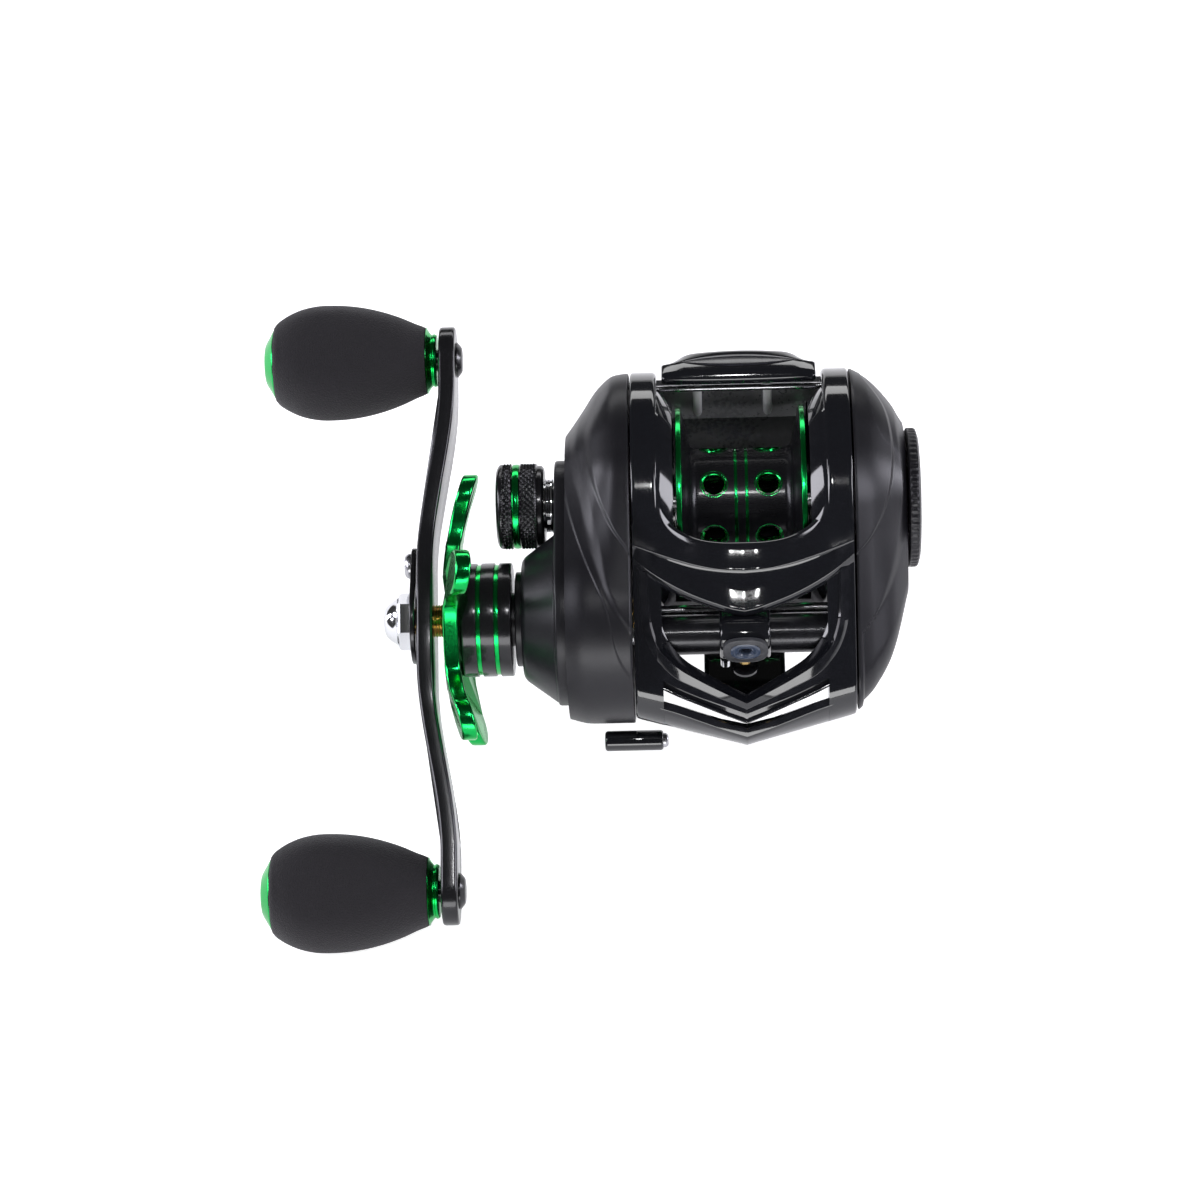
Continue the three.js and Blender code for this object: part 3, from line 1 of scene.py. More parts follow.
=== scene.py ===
"""A low-profile baitcasting reel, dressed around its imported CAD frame.

Shapes are drawn in millimetres and measured from the spool's axis: x runs across the
reel from the handle side (-) to the palm side (+), y from the line's way out (-) to the
angler (+), and z upwards. A mesh is turned into metres of the row frame when it is done.
"""

import logging
import math
from dataclasses import dataclass, field
from enum import Enum
from functools import lru_cache
from typing import Callable, Sequence

import bmesh
import bpy
import numpy as np
from mathutils import Matrix, Vector

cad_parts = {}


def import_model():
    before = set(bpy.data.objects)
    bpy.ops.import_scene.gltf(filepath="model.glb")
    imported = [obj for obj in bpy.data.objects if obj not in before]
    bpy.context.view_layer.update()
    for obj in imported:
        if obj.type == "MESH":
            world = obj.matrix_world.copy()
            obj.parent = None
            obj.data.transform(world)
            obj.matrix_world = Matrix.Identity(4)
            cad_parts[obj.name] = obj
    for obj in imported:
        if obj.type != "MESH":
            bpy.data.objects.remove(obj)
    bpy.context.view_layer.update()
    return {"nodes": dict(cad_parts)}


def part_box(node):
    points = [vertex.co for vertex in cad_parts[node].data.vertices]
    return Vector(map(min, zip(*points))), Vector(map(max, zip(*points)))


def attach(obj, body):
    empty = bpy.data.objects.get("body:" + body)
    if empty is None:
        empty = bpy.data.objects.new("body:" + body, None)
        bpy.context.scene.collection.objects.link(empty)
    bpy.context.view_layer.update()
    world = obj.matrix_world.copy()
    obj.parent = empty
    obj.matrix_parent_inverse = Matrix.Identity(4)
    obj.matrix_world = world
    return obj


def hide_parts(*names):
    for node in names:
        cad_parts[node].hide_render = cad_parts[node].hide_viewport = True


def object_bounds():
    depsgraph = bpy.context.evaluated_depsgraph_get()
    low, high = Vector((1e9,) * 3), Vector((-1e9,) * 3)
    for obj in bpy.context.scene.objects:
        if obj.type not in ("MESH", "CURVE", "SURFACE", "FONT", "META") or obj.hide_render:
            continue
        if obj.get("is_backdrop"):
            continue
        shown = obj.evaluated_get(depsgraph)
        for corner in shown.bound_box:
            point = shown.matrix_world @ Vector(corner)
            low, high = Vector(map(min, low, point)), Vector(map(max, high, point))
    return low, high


LOG = logging.getLogger("reel")
MM = 0.001
WELD = 0.004  # points closer than this, in mm, are one point
SLOPE = math.radians(40)  # the hood faces the angler's line of sight at this tilt

Corner = tuple[float, float, float]
Place = tuple[float, float]


class Body(Enum):
    """The moving bodies that pieces ride on."""

    REEL = "body"
    HANDLE = "handle"
    STAR = "star_drag"
    KNOB_FRONT = "knob_front"
    KNOB_REAR = "knob_rear"
    SPOOL = "spool"
    THUMB = "thumb_bar"
    GUIDE = "line_guide"
    CAST = "cast_control"
    DIAL = "brake_dial"


# ------------------------------------------------------------------ shader node groups


class NodeGroup:
    """A shader node group under construction, with short calls for nodes and links."""

    def __init__(self, name: str) -> None:
        """Starts an empty group.

        Args:
            name: the group's name in the file.
        """
        self.tree = bpy.data.node_groups.new(name, "ShaderNodeTree")
        self.inlet = self.tree.nodes.new("NodeGroupInput")
        self.outlet = self.tree.nodes.new("NodeGroupOutput")

    def takes(self, name: str, kind: str, value: object) -> None:
        """Adds a named input.

        Args:
            name: the input's name.
            kind: Float or Color.
            value: what it holds when nothing is set.
        """
        socket = self.tree.interface.new_socket(
            name, in_out="INPUT", socket_type="NodeSocket" + kind
        )
        socket.default_value = value

    def gives(self, name: str, kind: str) -> None:
        """Adds a named output of a kind."""
        self.tree.interface.new_socket(name, in_out="OUTPUT", socket_type="NodeSocket" + kind)

    def node(self, kind: str, **settings: object) -> bpy.types.Node:
        """Adds a node.

        Args:
            kind: the node's type, without the ShaderNode prefix.
            **settings: properties of the node.

        Returns:
            The new node.
        """
        made = self.tree.nodes.new("ShaderNode" + kind)
        for key, value in settings.items():
            setattr(made, key, value)
        return made

    def link(self, source: bpy.types.NodeSocket, target: bpy.types.NodeSocket) -> None:
        """Joins an output to an input."""
        self.tree.links.new(source, target)


def grain_group() -> bpy.types.NodeTree:
    """Builds the fine grain that every finish has: colour, roughness and height.

    Returns:
        The node group.
    """
    group = NodeGroup("FineGrain")
    group.takes("Light Color", "Color", (1, 1, 1, 1))
    group.takes("Dark Color", "Color", (0, 0, 0, 1))
    group.takes("Scale", "Float", 1500.0)
    group.takes("Stretch", "Float", 1.0)
    group.takes("Smooth", "Float", 0.2)
    group.takes("Rough", "Float", 0.4)
    for name, kind in (("Color", "Color"), ("Roughness", "Float"), ("Height", "Float")):
        group.gives(name, kind)
    place = group.node("TexCoord")
    stretch = group.node("CombineXYZ")
    stretch.inputs[1].default_value = 1.0
    stretch.inputs[2].default_value = 1.0
    group.link(group.inlet.outputs["Stretch"], stretch.inputs[0])
    spread = group.node("VectorMath", operation="MULTIPLY")
    group.link(place.outputs["Object"], spread.inputs[0])
    group.link(stretch.outputs[0], spread.inputs[1])
    fine = group.node("TexNoise", noise_dimensions="3D")
    fine.inputs["Detail"].default_value = 5.0
    group.link(group.inlet.outputs["Scale"], fine.inputs["Scale"])
    group.link(spread.outputs[0], fine.inputs["Vector"])
    broad = group.node("TexNoise", noise_dimensions="3D")
    broad.inputs["Scale"].default_value = 140.0
    broad.inputs["Detail"].default_value = 3.0
    group.link(spread.outputs[0], broad.inputs["Vector"])
    both = group.node("Math", operation="MULTIPLY_ADD")
    both.inputs[1].default_value = 0.55
    group.link(fine.outputs[0], both.inputs[0])
    half = group.node("Math", operation="MULTIPLY")
    half.inputs[1].default_value = 0.45
    group.link(broad.outputs[0], half.inputs[0])
    group.link(half.outputs[0], both.inputs[2])
    tone = group.node("Mix", data_type="RGBA")
    group.link(both.outputs[0], tone.inputs["Factor"])
    group.link(group.inlet.outputs["Dark Color"], tone.inputs[6])
    group.link(group.inlet.outputs["Light Color"], tone.inputs[7])
    polish = group.node("MapRange")
    polish.inputs["From Min"].default_value = 0.3
    polish.inputs["From Max"].default_value = 0.7
    group.link(both.outputs[0], polish.inputs["Value"])
    group.link(group.inlet.outputs["Smooth"], polish.inputs["To Min"])
    group.link(group.inlet.outputs["Rough"], polish.inputs["To Max"])
    group.link(tone.outputs[2], group.outlet.inputs["Color"])
    group.link(polish.outputs["Result"], group.outlet.inputs["Roughness"])
    group.link(fine.outputs[0], group.outlet.inputs["Height"])
    return group.tree


def wear_group() -> bpy.types.NodeTree:
    """Builds the wear that shows on proud edges, broken up by a coarse noise.

    Returns:
        The node group.
    """
    group = NodeGroup("EdgeWear")
    group.takes("Color", "Color", (0, 0, 0, 1))
    group.takes("Wear Color", "Color", (0.5, 0.5, 0.5, 1))
    group.takes("Amount", "Float", 0.3)
    group.gives("Color", "Color")
    group.gives("Mask", "Float")
    shape = group.node("NewGeometry")
    proud = group.node("MapRange")
    proud.inputs["From Min"].default_value = 0.52
    proud.inputs["From Max"].default_value = 0.6
    group.link(shape.outputs["Pointiness"], proud.inputs["Value"])
    place = group.node("TexCoord")
    broken = group.node("TexNoise")
    broken.inputs["Scale"].default_value = 420.0
    broken.inputs["Detail"].default_value = 6.0
    group.link(place.outputs["Object"], broken.inputs["Vector"])
    patch = group.node("MapRange")
    patch.inputs["From Min"].default_value = 0.42
    patch.inputs["From Max"].default_value = 0.62
    group.link(broken.outputs[0], patch.inputs["Value"])
    mask = group.node("Math", operation="MULTIPLY")
    group.link(proud.outputs["Result"], mask.inputs[0])
    group.link(patch.outputs["Result"], mask.inputs[1])
    amount = group.node("Math", operation="MULTIPLY")
    group.link(mask.outputs[0], amount.inputs[0])
    group.link(group.inlet.outputs["Amount"], amount.inputs[1])
    tone = group.node("Mix", data_type="RGBA")
    group.link(amount.outputs[0], tone.inputs["Factor"])
    group.link(group.inlet.outputs["Color"], tone.inputs[6])
    group.link(group.inlet.outputs["Wear Color"], tone.inputs[7])
    group.link(tone.outputs[2], group.outlet.inputs["Color"])
    group.link(amount.outputs[0], group.outlet.inputs["Mask"])
    return group.tree


class Effects:
    """The node groups that the finishes share, each built once."""

    made: dict[str, bpy.types.NodeTree] = {}

    @classmethod
    def get(cls, name: str, build: Callable[[], bpy.types.NodeTree]) -> bpy.types.NodeTree:
        """Returns a group, building it the first time.

        Args:
            name: what to keep it under.
            build: the function that builds it.

        Returns:
            The node group.
        """
        if name not in cls.made:
            cls.made[name] = build()
        return cls.made[name]


# ------------------------------------------------------------------ finishes


@dataclass(frozen=True)
class Finish:
    """One surface finish: its colours, gloss and grain, and the record's slot for it."""

    name: str
    slot: str
    light: tuple[float, float, float]
    dark: tuple[float, float, float]
    smooth: float
    rough: float
    metallic: float = 0.0
    coat: float = 0.0
    coat_roughness: float = 0.08
    specular: float = 0.5
    sheen: float = 0.0
    grain_scale: float = 1500.0
    grain_stretch: float = 1.0
    bump: float = 0.05
    bump_height: float = 0.00004
    wear: tuple[float, float, float] = (0.3, 0.3, 0.32)
    wear_amount: float = 0.15

    def material(self) -> bpy.types.Material:
        """Builds the material, or returns it if it is already built.

        Returns:
            The material, named after the finish.
        """
        if self.name in bpy.data.materials:
            return bpy.data.materials[self.name]
        made = bpy.data.materials.new(self.name)
        made.use_nodes = True
        nodes, links = made.node_tree.nodes, made.node_tree.links
        skin = nodes["Principled BSDF"]
        grain = nodes.new("ShaderNodeGroup")
        grain.node_tree = Effects.get("grain", grain_group)
        grain.inputs["Light Color"].default_value = (*self.light, 1)
        grain.inputs["Dark Color"].default_value = (*self.dark, 1)
        grain.inputs["Scale"].default_value = self.grain_scale
        grain.inputs["Stretch"].default_value = self.grain_stretch
        grain.inputs["Smooth"].default_value = self.smooth
        grain.inputs["Rough"].default_value = self.rough
        wear = nodes.new("ShaderNodeGroup")
        wear.node_tree = Effects.get("wear", wear_group)
        wear.inputs["Wear Color"].default_value = (*self.wear, 1)
        wear.inputs["Amount"].default_value = self.wear_amount
        links.new(grain.outputs["Color"], wear.inputs["Color"])
        links.new(wear.outputs["Color"], skin.inputs["Base Color"])
        links.new(grain.outputs["Roughness"], skin.inputs["Roughness"])
        bump = nodes.new("ShaderNodeBump")
        bump.inputs["Strength"].default_value = self.bump
        bump.inputs["Distance"].default_value = self.bump_height
        links.new(grain.outputs["Height"], bump.inputs["Height"])
        links.new(bump.outputs["Normal"], skin.inputs["Normal"])
        skin.inputs["Metallic"].default_value = self.metallic
        skin.inputs["Coat Weight"].default_value = self.coat
        skin.inputs["Coat Roughness"].default_value = self.coat_roughness
        skin.inputs["Specular IOR Level"].default_value = self.specular
        skin.inputs["Sheen Weight"].default_value = self.sheen
        return made


GLOSS_BLACK = Finish(
    "gloss_black_lacquer", "gloss_black", (0.010, 0.011, 0.014), (0.005, 0.005, 0.007),
    0.07, 0.12, coat=0.6, coat_roughness=0.04, bump=0.03, wear=(0.08, 0.08, 0.09),
)
# Painted sheen: the deck belongs to the gloss black frame, and this grey colour stands in for the light that it
# reflects.
DECK_PAINTED_SHEEN = Finish(
    "deck_painted_sheen", "gloss_black", (0.24, 0.24, 0.25), (0.17, 0.17, 0.18),
    0.24, 0.34, metallic=0.4, coat=0.2,
)
SATIN_GRAPHITE = Finish(
    "satin_graphite", "matte_black", (0.017, 0.0165, 0.021), (0.008, 0.0078, 0.010),
    0.31, 0.41, metallic=0.35, grain_scale=4200.0, bump=0.14, wear=(0.10, 0.10, 0.12),
)
PAD_BLACK = Finish(
    "thumb_pad_black", "matte_black", (0.020, 0.020, 0.026), (0.012, 0.012, 0.016),
    0.16, 0.24, coat=0.3, bump=0.05,
)
GREEN_ANODISED = Finish(
    "green_anodised", "anodised_green", (0.012, 0.56, 0.115), (0.004, 0.36, 0.060),
    0.14, 0.24, metallic=1.0, grain_scale=2600.0, bump=0.04, wear=(0.35, 0.8, 0.45),
)
DRUM_BLACK = Finish(
    "black_anodised_drum", "gloss_black", (0.020, 0.020, 0.024), (0.010, 0.010, 0.013),
    0.24, 0.34, metallic=0.55, coat=0.25, coat_roughness=0.10, grain_scale=5200.0, grain_stretch=0.12,
    bump=0.10, wear=(0.06, 0.06, 0.07),
)
BLACK_ALUMINIUM = Finish(
    "black_anodised_aluminium", "black_aluminium", (0.026, 0.026, 0.029), (0.014, 0.014, 0.016),
    0.16, 0.26, metallic=0.6, coat=0.25, grain_scale=2200.0, bump=0.05, wear=(0.30, 0.30, 0.31),
)
CHROME = Finish(
    "chrome", "chrome", (0.80, 0.81, 0.85), (0.66, 0.67, 0.71), 0.05, 0.10, metallic=1.0,
    bump=0.01, wear=(0.9, 0.9, 0.92),
)
STEEL = Finish(
    "ground_steel", "steel", (0.56, 0.56, 0.58), (0.42, 0.42, 0.45), 0.20, 0.34, metallic=1.0,
    grain_scale=2600.0, grain_stretch=0.15, bump=0.06, wear=(0.75, 0.75, 0.77),
)
BRASS = Finish(
    "machined_brass", "brass", (0.80, 0.56, 0.22), (0.62, 0.40, 0.13), 0.16, 0.28, metallic=1.0,
    grain_scale=2400.0, bump=0.05, wear=(0.95, 0.78, 0.45),
)
FOAM = Finish(
    "eva_foam", "foam", (0.026, 0.024, 0.028), (0.008, 0.0075, 0.009), 0.82, 0.98,
    specular=0.25, sheen=0.12, grain_scale=3400.0, bump=0.9, bump_height=0.00022, wear_amount=0.0,
)
CERAMIC = Finish(
    "guide_ceramic", "ceramic", (0.060, 0.080, 0.125), (0.035, 0.048, 0.080), 0.08, 0.16, coat=0.4,
)
INNER_PLASTIC = Finish(
    "moulded_plastic", "inner_plastic", (0.050, 0.052, 0.058), (0.030, 0.031, 0.035), 0.30, 0.44,
    grain_scale=2600.0, bump=0.10,
)
PALE_PLASTIC = Finish(
    "pale_plastic", "inner_plastic", (0.66, 0.66, 0.67), (0.54, 0.54, 0.55), 0.26, 0.38, bump=0.06,
)
CARBON = Finish(
    "drag_carbon", "carbon", (0.040, 0.040, 0.044), (0.014, 0.014, 0.016), 0.45, 0.65,
    grain_scale=900.0, bump=0.3,
)

# ------------------------------------------------------------------ places in the frame


@lru_cache(maxsize=None)
def axis_height() -> float:
    """Height of the spool's axis over the foot's underside, in millimetres."""
    low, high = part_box("spool")
    return (low.z + high.z) / 2 / MM


@dataclass(frozen=True)
class Span:
    """The room that a CAD node takes, in millimetres from the spool's axis."""

    low: Vector
    high: Vector

    @classmethod
    @lru_cache(maxsize=None)
    def of(cls, node: str) -> "Span":
        """Measures a node.

        Args:
            node: the CAD node's name.

        Returns:
            Its span.
        """
        rise = Vector((0, 0, axis_height()))
        low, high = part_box(node)
        return cls(low / MM - rise, high / MM - rise)

    @property
    def middle(self) -> Vector:
        """The middle of the box."""
        return (self.low + self.high) / 2

    @property
    def axis(self) -> Place:
        """Where an axis along x through the middle lies, as (y, z)."""
        return self.middle.y, self.middle.z

    @property
    def radius(self) -> float:
        """Half the box's depth, which is the radius of a piece turned about x."""
        return (self.high.y - self.low.y) / 2


# ------------------------------------------------------------------ drawing and meshing


def rounded(corners: Sequence[Corner], closed: bool = True, steps: int = 4) -> np.ndarray:
    """Rounds the corners of a drawn outline.

    Args:
        corners: (first, second, radius) of each corner in turn.
        closed: whether the outline runs back to its start.
        steps: how many short edges each corner gets.

    Returns:
        The outline's points, one row each.
    """
    spots = np.array([corner[:2] for corner in corners], float)
    out: list[np.ndarray] = []
    for i, (_, _, radius) in enumerate(corners):
        here = spots[i]
        if radius <= 0 or (not closed and i in (0, len(spots) - 1)):
            out.append(here)
            continue
        back = spots[i - 1] - here
        ahead = spots[(i + 1) % len(spots)] - here
        far_back, far_ahead = np.linalg.norm(back), np.linalg.norm(ahead)
        reach = min(radius, 0.48 * far_back, 0.48 * far_ahead)
        start = here + back / far_back * reach
        end = here + ahead / far_ahead * reach
        for t in np.linspace(0, 1, steps + 1):
            out.append((1 - t) ** 2 * start + 2 * t * (1 - t) * here + t * t * end)
    return np.array(out)


def eased(value: np.ndarray, low: float, high: float) -> np.ndarray:
    """A smooth step from 0 at low to 1 at high."""
    t = np.clip((value - low) / (high - low), 0, 1)
    return t * t * (3 - 2 * t)


def flowing(at: np.ndarray, knots: Sequence[float], values: Sequence[float]) -> np.ndarray:
    """A smooth curve through some values.

    Args:
        at: where to read the curve.
        knots: the places of the values, rising.
        values: the values there.

    Returns:
        The curve's values at those places.
    """
    xs, ys = np.array(knots, float), np.array(values, float)
    slopes = np.gradient(ys, xs)
    at = np.clip(np.asarray(at, float), xs[0], xs[-1])
    i = np.clip(np.searchsorted(xs, at) - 1, 0, len(xs) - 2)
    width = xs[i + 1] - xs[i]
    t = (at - xs[i]) / width
    return (
        (2 * t**3 - 3 * t**2 + 1) * ys[i]
        + (t**3 - 2 * t**2 + t) * width * slopes[i]
        + (3 * t**2 - 2 * t**3) * ys[i + 1]
        + (t**3 - t**2) * width * slopes[i + 1]
    )


@dataclass(frozen=True)
class Round:
    """A circle that an outline is wrapped round."""

    y: float
    z: float
    r: float

    def shrunk(self, by: float) -> "Round":
        """The same circle with a smaller radius."""
        return Round(self.y, self.z, self.r - by)


def wrapped(
    rounds: Sequence[Round], start: float = 0.0, sweep: float = 2 * math.pi, samples: int = 720
) -> tuple[np.ndarray, np.ndarray]:
    """The outline wrapped round some circles.

    Args:
        rounds: the circles.
        start: the angle that the outline faces at its first point.
        sweep: how far it turns.
        samples: how many points to take.

    Returns:
        The points (y, z), and the angle that the outline faces at each.
    """
    facing = start + np.linspace(0, sweep, samples, endpoint=False)
    ahead = np.stack([np.cos(facing), np.sin(facing)], 1)
    centres = np.array([[c.y, c.z] for c in rounds])
    radii = np.array([c.r for c in rounds])
    far = (centres @ ahead.T + radii[:, None]).argmax(0)
    return centres[far] + radii[far, None] * ahead, facing


def polar_outline(rounds: Sequence[Round], centre: Place, angles: np.ndarray) -> np.ndarray:
    """How far a wrapped outline lies from a centre inside it.

    Args:
        rounds: the circles that it is wrapped round.
        centre: the (y, z) inside it.
        angles: the directions to look in.

    Returns:
        The distance in each direction.
    """
    points, _ = wrapped(rounds)
    points = np.vstack([points, points[:1]])
    travel = np.concatenate([[0], np.cumsum(np.linalg.norm(np.diff(points, axis=0), axis=1))])
    even = np.linspace(0, travel[-1], 1600, endpoint=False)
    y = np.interp(even, travel, points[:, 0]) - centre[0]
    z = np.interp(even, travel, points[:, 1]) - centre[1]
    return np.interp(angles, np.arctan2(z, y), np.hypot(y, z), period=2 * math.pi)


class Draft:
    """The points and faces of one piece while it is being shaped."""

    def __init__(self) -> None:
        """Starts with nothing."""
        self.points: list[np.ndarray] = []
        self.faces: list[tuple[int, ...]] = []
        self.count = 0

    def add(self, points: np.ndarray) -> int:
        """Adds points and returns the index of the first."""
        first = self.count
        self.points.append(points.reshape(-1, 3))
        self.count += len(self.points[-1])
        return first

    def grid(self, rows: np.ndarray, round_rows: bool = True, round_all: bool = False) -> "Draft":
        """Adds a grid of four-sided faces.

        Args:
            rows: the points, as (rows, columns, 3).
            round_rows: whether each row closes on itself.
            round_all: whether the last row joins the first.

        Returns:
            This draft.
        """
        m, n, _ = rows.shape
        first = self.add(rows)
        i = np.arange(m if round_all else m - 1)[:, None]
        j = np.arange(n if round_rows else n - 1)[None, :]
        above, beside = (i + 1) % m, (j + 1) % n
        quads = np.stack(
            np.broadcast_arrays(i * n + j, i * n + beside, above * n + beside, above * n + j), -1
        )
        self.faces.extend(map(tuple, (quads.reshape(-1, 4) + first).tolist()))
        return self

    def lid(self, ring: np.ndarray) -> "Draft":
        """Closes a ring with one flat face."""
        first = self.add(ring)
        self.faces.append(tuple(range(first, first + len(ring))))
        return self

    def loft(self, rings: np.ndarray) -> "Draft":
        """A skin through closed rings, with a lid at each end."""
        return self.grid(rings).lid(rings[0]).lid(rings[-1])

    def turned(self, corners: Sequence[Corner], at: Place = (0.0, 0.0), closed: bool = True,
               segments: int = 128, shaped: Callable[[np.ndarray, np.ndarray], np.ndarray] | None = None) -> "Draft":
        """Turns a profile about an axis along x.

        Args:
            corners: (x, radius, rounding) of each corner.
            at: the axis, as (y, z).
            closed: whether the profile closes on itself; an open one ends on the axis.
            segments: how many faces go round.
            shaped: changes the radius, given x and the angle.

        Returns:
            This draft.
        """
        profile = rounded(corners, closed)
        turn = np.linspace(0, 2 * math.pi, segments, endpoint=False)[None, :]
        x = np.repeat(profile[:, :1], segments, 1)
        r = np.repeat(profile[:, 1:], segments, 1)
        if shaped is not None:
            r = np.where(r > 0, shaped(x, turn + 0 * r) + r, r)
        rows = np.stack([x, at[0] + r * np.cos(turn), at[1] + r * np.sin(turn)], -1)
        return self.grid(rows, round_all=closed)

    def plate(self, rounds: Sequence[Round], x0: float, x1: float, edge: float = 0.3,
              samples: int = 160) -> "Draft":
        """A plate with a wrapped outline and softened edges.

        Args:
            rounds: the circles that the outline is wrapped round.
            x0: one face.
            x1: the other face.
            edge: rounding of its two edges.
            samples: points round the outline.

        Returns:
            This draft.
        """
        way = 1 if x1 > x0 else -1
        rings = []
        for x, base, side in ((x0, 0, way), (x1, 1, -way)):
            steps = np.linspace(0, math.pi / 2, 4)
            if base:
                steps = steps[::-1]
            for a in steps:
                inset = edge * (1 - math.sin(a))
                rings.append((x + side * edge * (1 - math.cos(a)), inset))
        made = []
        for x, inset in rings:
            outline, _ = wrapped([c.shrunk(inset) for c in rounds], samples=samples)
            made.append(np.column_stack([np.full(samples, x), outline]))
        return self.loft(np.array(made))

    def prism(self, outline: np.ndarray, x0: float, x1: float) -> "Draft":
        """A plate with sharp edges and any (y, z) outline, between two x faces."""
        rings = [np.column_stack([np.full(len(outline), x), outline]) for x in (x0, x1)]
        return self.loft(np.array(rings))

    def moved(self, change: Callable[[np.ndarray], np.ndarray]) -> "Draft":
        """Passes every point through a function."""
        self.points = [change(part) for part in self.points]
        return self

    def welded(self) -> bmesh.types.BMesh:
        """The draft as one mesh in metres, with its seams welded and its faces turned out."""
        shape = bmesh.new()
        rise = np.array([0, 0, axis_height()])
        spots = [shape.verts.new(((p + rise) * MM).tolist()) for part in self.points for p in part]
        for corners in self.faces:
            shape.faces.new([spots[i] for i in corners])
        bmesh.ops.remove_doubles(shape, verts=shape.verts, dist=WELD * MM)
        bmesh.ops.recalc_face_normals(shape, faces=shape.faces)
        return shape

    def built(self, name: str, finish: Finish, body: Body, stands_for: Sequence[str] = (),
              bevel: float = 0.0, sharp: float = 38.0, flat: bool = False) -> bpy.types.Object:
        """Turns the draft into a finished piece that rides on its body.

        Args:
            name: the piece's name.
            finish: what it is made of.
            body: the body it rides on.
            stands_for: the CAD nodes that it replaces.
            bevel: width of the bevel that its sharp edges get.
            sharp: edges over this many degrees stay sharp.
            flat: whether its faces are shaded flat.

        Returns:
            The piece.
        """
        shape = self.welded()
        if bevel:
            edges = [e for e in shape.edges if e.is_manifold and e.calc_face_angle(0) > math.radians(sharp)]
            bmesh.ops.bevel(shape, geom=edges, offset=bevel * MM, segments=3, profile=0.6,
                            affect="EDGES", clamp_overlap=True)
        for face in shape.faces:
            face.smooth = not flat
        for edge in shape.edges:
            edge.smooth = not edge.is_manifold or edge.calc_face_angle(0) < math.radians(sharp)
        return dress(linked(name, shape), finish, body, stands_for)


def linked(name: str, shape: bmesh.types.BMesh) -> bpy.types.Object:
    """Puts a mesh into the scene as a named object, and frees the mesh it was made from.

    Args:
        name: the object's name.
        shape: the mesh to put in.

    Returns:
        The object.
    """
    mesh = bpy.data.meshes.new(name)
    shape.to_mesh(mesh)
    shape.free()
    made = bpy.data.objects.new(name, mesh)
    bpy.context.scene.collection.objects.link(made)
    return made


def dress(
    piece: bpy.types.Object, finish: Finish, body: Body, stands_for: Sequence[str]
) -> bpy.types.Object:
    """Gives a piece its finish, its body and the CAD nodes it stands for.

    Args:
        piece: the new object.
        finish: its finish.
        body: the body it rides on.
        stands_for: the CAD nodes that it replaces.

    Returns:
        The piece.
    """
    piece.data.materials.clear()
    piece.data.materials.append(finish.material())
    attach(piece, body.value)
    if stands_for:
        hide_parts(*stands_for)
    LOG.info("%s rides on %s, %d faces", piece.name, body.value, len(piece.data.polygons))
    return piece


def drilled(piece: bpy.types.Object, cutters: Sequence[bpy.types.Object]) -> bpy.types.Object:
    """Cuts solids out of a piece and removes them.

    Args:
        piece: the piece to cut.
        cutters: the solids, which are deleted after the cut.

    Returns:
        The piece.
    """
    for cutter in cutters:
        tool = piece.modifiers.new("hole", "BOOLEAN")
        tool.object = cutter
        tool.solver = "EXACT"
    shown = bpy.context.evaluated_depsgraph_get()
    shown.update()
    mesh = bpy.data.meshes.new_from_object(piece.evaluated_get(shown))
    piece.modifiers.clear()
    old = piece.data
    piece.data = mesh
    bpy.data.meshes.remove(old)
    for cutter in cutters:
        bpy.data.objects.remove(cutter)
    return piece


def cutter(corners: Sequence[Corner], at: Place) -> bpy.types.Object:
    """A turned solid to cut with, which is never shown."""
    return linked("cutter", Draft().turned(corners, at, closed=False, segments=64).welded())


def bore(x0: float, x1: float, radius: float, at: Place) -> bpy.types.Object:
    """A plain cylinder to cut with, along x."""
    return cutter([(x0, 0, 0), (x0, radius, 0), (x1, radius, 0), (x1, 0, 0)], at)


# ------------------------------------------------------------------ the reel's outline


@dataclass(frozen=True)
class Outline:
    """The body's side view, as circles that its skin is wrapped round."""

    half_width: float = 19.3
    plate_inner: float = 14.6
    back: Round = Round(4.5, 0, 20)
    shoulder: float = 19.2
    hood_low: float = 15.9
    nose: Round = Round(-34.5, -13.8, 7.5)
    nose_sweep: tuple[float, float, float] = (4.5, 1.8, 0.5)

    def nose_at(self, x: float) -> Round:
        """The nose's circle at some x: it falls back towards the side plates."""
        share = min(1.0, abs(x) / self.half_width)
        y, z, r = self.nose_sweep
        return Round(self.nose.y + y * share, self.nose.z + z * share, self.nose.r - r * share)

    def plate_rounds(self, x: float, inset: float = 0.0) -> list[Round]:
        """The circles of a side plate's outline at some x."""
        rounds = [self.back, self.nose_at(x), Round(0, 0, self.shoulder)]
        return [c.shrunk(inset) for c in rounds]

    def front_rounds(self, x: float) -> list[Round]:
        """The circles of the hood's and nose's skin at some x."""
        rise = float(eased(np.array(abs(x) / self.half_width), 0.1, 0.8))
        r = self.hood_low + (self.shoulder - self.hood_low) * rise
        return [Round(0, 0, r), self.nose_at(x)]


